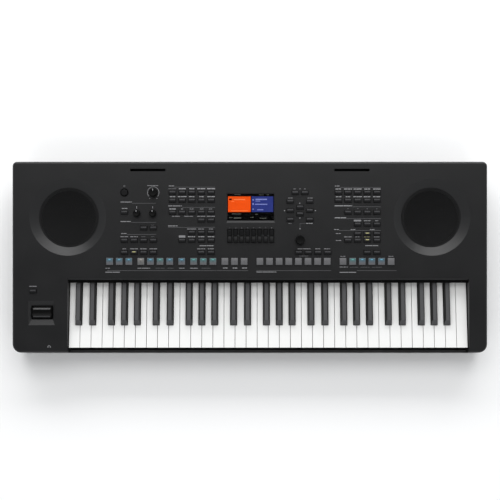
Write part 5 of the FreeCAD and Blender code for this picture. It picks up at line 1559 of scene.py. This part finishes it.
@dataclass
class PanelPrint:
    """Printed lines, label bars, numbers and small signs on the panel."""

    thickness: float = 0.12
    line_width: float = 0.7
    arrow_radius: float = 1.7
    # Bars of a label: their lengths as shares of it, the shortest one, the gap after each, the
    # rest that the last one takes in, the rest that stays empty, and their share of its height.
    bar_shares: tuple[float, ...] = (0.42, 0.3, 0.55, 0.36, 0.48)
    bar_least: float = 3.0
    bar_gap: float = 0.9
    bar_rest: float = 2.5
    bar_end: float = 0.2
    bar_height: float = 0.8
    # Numbers over the rockers.
    number_places: tuple[float, ...] = (-42.5, -29.9, -17.2, -4.5, 8.1, 20.8, 33.5, 46.1)
    number_foot: float = 60.3
    number_size: float = 3.6
    piece: Piece = field(init=False)

    def build(self) -> None:
        """Print everything in one piece."""
        self.piece = Piece("panel_print", *(tone.value for tone in Tone))
        for row, left, right in LINES:
            self.stroke(((left + right) / 2.0, row, right - left, self.line_width), Tone.DIM)
        for tone, marks in STROKES.items():
            for mark in marks:
                self.stroke(mark, tone)
        for tone, marks in LABELS.items():
            for count, mark in enumerate(marks):
                self.label(count, mark, tone)
        for tone, arcs in ARCS.items():
            for (x, row), radius, width, start, angle in arcs:
                walls = (radius - width / 2.0, radius + width / 2.0)
                line = bent(walls, self.thickness, start, angle)
                self.piece.add(line, (x, row, 0.0), tone.value)
        for x, row, turn in ARROWS:
            head = arrowhead((self.arrow_radius, self.arrow_radius), self.thickness)
            spin = Matrix.Rotation(math.radians(turn), 4, "Z")
            self.piece.add(head, (x, row, 0.0), Tone.BRIGHT.value, spin)
        for number, x in enumerate(self.number_places, start=1):
            self.piece.add(self.digit(number), (x, self.number_foot, 0.0), Tone.PLAIN.value)
        self.piece.place(CASE, "")

    def stroke(self, mark: Mark, tone: Tone) -> None:
        """Print one bar in one ink."""
        x, row, width, depth = mark
        self.piece.add(bar((width, depth, self.thickness)), (x, row, 0.0), tone.value)

    def label(self, count: int, mark: Mark, tone: Tone) -> None:
        """Print a label as a few bars with gaps between them.

        Args:
            count: Its number, which picks the lengths of its bars.
            mark: Its place and size.
            tone: Its ink.
        """
        x, row, width, depth = mark
        start, end = x - width / 2.0, x + width / 2.0
        while end - start > self.bar_end:
            share = self.bar_shares[count % len(self.bar_shares)]
            stop = min(end, start + max(self.bar_least, share * width))
            if end - stop < self.bar_rest:
                stop = end
            middle, height = (start + stop) / 2.0, depth * self.bar_height
            self.stroke((middle, row, stop - start, height), tone)
            start = stop + self.bar_gap
            count += 1

    def digit(self, number: int) -> bmesh.types.BMesh:
        """Model one number.

        Args:
            number: The number.

        Returns:
            Its flat shape, about the middle of its foot.
        """
        curve = bpy.data.curves.new("digit", "FONT")
        curve.body = str(number)
        curve.size = self.number_size
        curve.extrude = self.thickness / 2.0
        curve.align_x = "CENTER"
        writer = bpy.data.objects.new("digit", curve)
        drawn = bpy.data.meshes.new_from_object(writer)
        made = bmesh.new()
        made.from_mesh(drawn)
        bpy.data.objects.remove(writer)
        bpy.data.curves.remove(curve)
        bpy.data.meshes.remove(drawn)
        return made


@dataclass
class Sockets:
    """Sockets of the rear and of the left cheek's front, with their rings and tongues."""

    rear: float = 200.0
    height: float = 60.0
    # Rear jacks, as (x, radius of the bore).
    jacks: tuple[Place, ...] = (
        (-150.0, 3.2),
        (-124.0, 3.2),
        (-98.0, 3.2),
        (-72.0, 3.2),
        (-46.0, 1.8),
        (-20.0, 2.8),
    )
    phones: Point = (-421.3, -200.0, 62.0)
    phones_bore: float = 3.2
    # Ring: how far its walls lie outside the bore, its heights, and its inner and outer chamfer.
    ring_walls: Place = (0.1, 2.2)
    ring_seat: float = -0.2
    ring_mouth: float = 0.1
    ring_shoulder: float = 0.25
    ring_top: float = 0.45
    ring_chamfers: Place = (0.4, 0.3)
    ring_steps: int = 36
    # Ports and their tongues.
    ports: Place = (40.0, 66.0)
    tongue: Point = (8.6, 10.0, 1.8)
    tongue_bevel: float = 0.3
    tongue_inset: float = 8.9
    tongue_height: float = 59.1

    def build(self) -> None:
        """Dress the sockets and model their plated rings and plastic tongues."""
        dress(Finishes.NYLON, "jack_sockets")
        dress(Finishes.STEEL, "usb_sockets")
        piece = Piece("socket_rings", Finishes.NICKEL)
        quarter = math.radians(90.0)
        for x, bore in self.jacks:
            back = Matrix.Rotation(-quarter, 4, "X")
            piece.add(self.ring(bore), (x, self.rear, self.height), turn=back)
        forward = Matrix.Rotation(quarter, 4, "X")
        piece.add(self.ring(self.phones_bore), self.phones, turn=forward)
        piece.place(CASE, "steel", TABLE)
        tongues = Piece("port_tongues", Finishes.NYLON)
        for x in self.ports:
            tongue = bar(self.tongue, self.tongue_bevel)
            tongues.add(tongue, (x, self.rear - self.tongue_inset, self.tongue_height))
        tongues.place(CASE, "socket_plastic", TABLE)

    def ring(self, bore: float) -> bmesh.types.BMesh:
        """Model a plated ring about a socket's mouth.

        Args:
            bore: Radius of the socket's bore.

        Returns:
            The ring, standing out along z.
        """
        inner, outer = (bore + wall for wall in self.ring_walls)
        inside, outside = self.ring_chamfers
        section = (
            (inner, self.ring_seat),
            (outer, self.ring_seat),
            (outer, self.ring_shoulder),
            (outer - outside, self.ring_top),
            (inner + inside, self.ring_top),
            (inner, self.ring_mouth),
        )
        return turned(section, True, steps=self.ring_steps)


@dataclass
class InnerWorks:
    """Boards, mats and brackets inside the case."""

    boards: tuple[str, ...] = ("panel_boards", "circuit_boards")
    metal: tuple[str, ...] = ("rotary_pots", "rocker_rod")

    def build(self) -> None:
        """Dress what the case hides."""
        dress(Finishes.BOARD, *self.boards)
        dress(Finishes.SILICONE, "switch_mats")
        dress(Finishes.STEEL, *self.metal)
        dress(Finishes.ALUMINIUM, "heat_sink")
        dress(Finishes.NYLON, "wheel_bracket")


@dataclass(frozen=True)
class Softbox:
    """One soft lamp of the studio, in metres and watts.

    Attributes:
        name: Its name.
        place: Its middle.
        size: Its width and height.
        power: Its power.
        mirrored: Whether reflections show it, or a polarising filter keeps it out of them.
    """

    name: str
    place: Point
    size: Place
    power: float
    mirrored: bool = True

    def hang(self, target: Vector) -> None:
        """Hang the lamp.

        Args:
            target: Point that it is turned to.
        """
        lamp = bpy.data.lights.new(self.name, "AREA")
        lamp.shape = "RECTANGLE"
        lamp.size, lamp.size_y = self.size
        lamp.energy = self.power
        made = bpy.data.objects.new(self.name, lamp)
        made.location = self.place
        made.visible_glossy = self.mirrored
        way = target - Vector(self.place)
        made.rotation_euler = way.to_track_quat("-Z", "Y").to_euler()
        bpy.context.scene.collection.objects.link(made)


@dataclass
class Studio:
    """A white floor, soft lamps above, behind and in front, and a camera square to the panel."""

    # Camera: the point it looks at and its distance from it, its lens and its sensor.
    target: Point = (0.3, 14.5, 105.7)
    distance: float = 2000.0
    lens: float = 68.2
    sensor: float = 36.0
    # Lamps, and the point they are turned to, in metres.
    softboxes: tuple[Softbox, ...] = (
        Softbox("top_softbox", (0.0, 1.15, 2.8), (3.2, 1.6), 32.0),
        Softbox("rear_softbox", (0.0, 2.7, 1.6), (4.8, 1.0), 84.0),
        Softbox("front_softbox", (0.0, -2.2, 2.6), (3.2, 1.8), 27.5, False),
    )
    aim: Point = (0.0, 0.0, 0.08)
    # Room: its colour, its strength at the walls and at the ceiling, and where the walls end.
    room_colour: str = "#F4F6F8"
    wall_strength: float = 0.92
    ceiling_strength: float = 0.11
    wall_end: float = 0.3
    # Floor: half of its side, in metres, and the cells along it.
    floor_reach: float = 6.0
    floor_cells: int = 8

    def build(self) -> None:
        """Set up the floor, lamps, room and camera."""
        self.floor()
        for softbox in self.softboxes:
            softbox.hang(Vector(self.aim))
        self.room()
        self.camera()
        bpy.context.scene.view_settings.view_transform = "Standard"
        LOG.info("studio: floor, %d softboxes, room and camera", len(self.softboxes))

    def floor(self) -> None:
        """Lay the floor."""
        shape = bmesh.new()
        cells = {"x_segments": self.floor_cells, "y_segments": self.floor_cells}
        bmesh.ops.create_grid(shape, size=self.floor_reach, **cells)
        mesh = bpy.data.meshes.new("studio_floor")
        shape.to_mesh(mesh)
        shape.free()
        mesh.materials.append(Finishes.FLOOR.material())
        made = bpy.data.objects.new("studio_floor", mesh)
        bpy.context.scene.collection.objects.link(made)

    def room(self) -> None:
        """Fill the room with light that is pale at the walls and dim at the ceiling."""
        world = bpy.data.worlds.new("studio")
        world.use_nodes = True
        tree = world.node_tree
        tree.nodes.clear()
        way = add_node(tree, "ShaderNodeTexCoord").outputs["Generated"]
        rise = add_node(tree, "ShaderNodeSeparateXYZ", {0: way}).outputs["Z"]
        ends = {
            "Value": rise,
            "From Min": self.wall_end,
            "To Min": self.wall_strength,
            "To Max": self.ceiling_strength,
        }
        level = add_node(
            tree, "ShaderNodeMapRange", ends, interpolation_type="SMOOTHSTEP"
        ).outputs[0]
        shine = {"Color": linear(self.room_colour), "Strength": level}
        light = add_node(tree, "ShaderNodeBackground", shine)
        add_node(tree, "ShaderNodeOutputWorld", {"Surface": light.outputs[0]})
        bpy.context.scene.world = world

    def camera(self) -> None:
        """Hang the camera square over the panel."""
        lens = bpy.data.cameras.new("camera")
        lens.lens = self.lens
        lens.sensor_width = self.sensor
        made = bpy.data.objects.new("camera", lens)
        away = Vector((0.0, -math.sin(SLOPE), math.cos(SLOPE))) * self.distance
        made.location = (Vector(self.target) + away) * MM
        made.rotation_euler = (SLOPE, 0.0, 0.0)
        bpy.context.scene.collection.objects.link(made)
        bpy.context.scene.camera = made


def main() -> None:
    """Build the scene in order."""
    logging.basicConfig(level=logging.INFO)
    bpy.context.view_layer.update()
    parts = (
        CaseShell(),
        KeyBed(),
        ButtonField(),
        PadRow(),
        Knob("volume_knob", -203.95, 136.0, 9.2, 12.0, 20, True),
        Knob("live_knob_left", -238.9, 92.2, 7.8, 12.0, 18, True),
        Knob("live_knob_right", -205.2, 92.2, 7.8, 12.0, 18, True),
        Knob("data_dial", 106.1, 35.9, 10.2, 11.0, 30, False),
        PitchWheel(),
        SpeakerPair(),
        DisplayUnit(),
        RockerRow(),
        PanelPrint(),
        Sockets(),
        InnerWorks(),
        Studio(),
    )
    for part in parts:
        part.build()


if __name__ == "__main__":
    main()
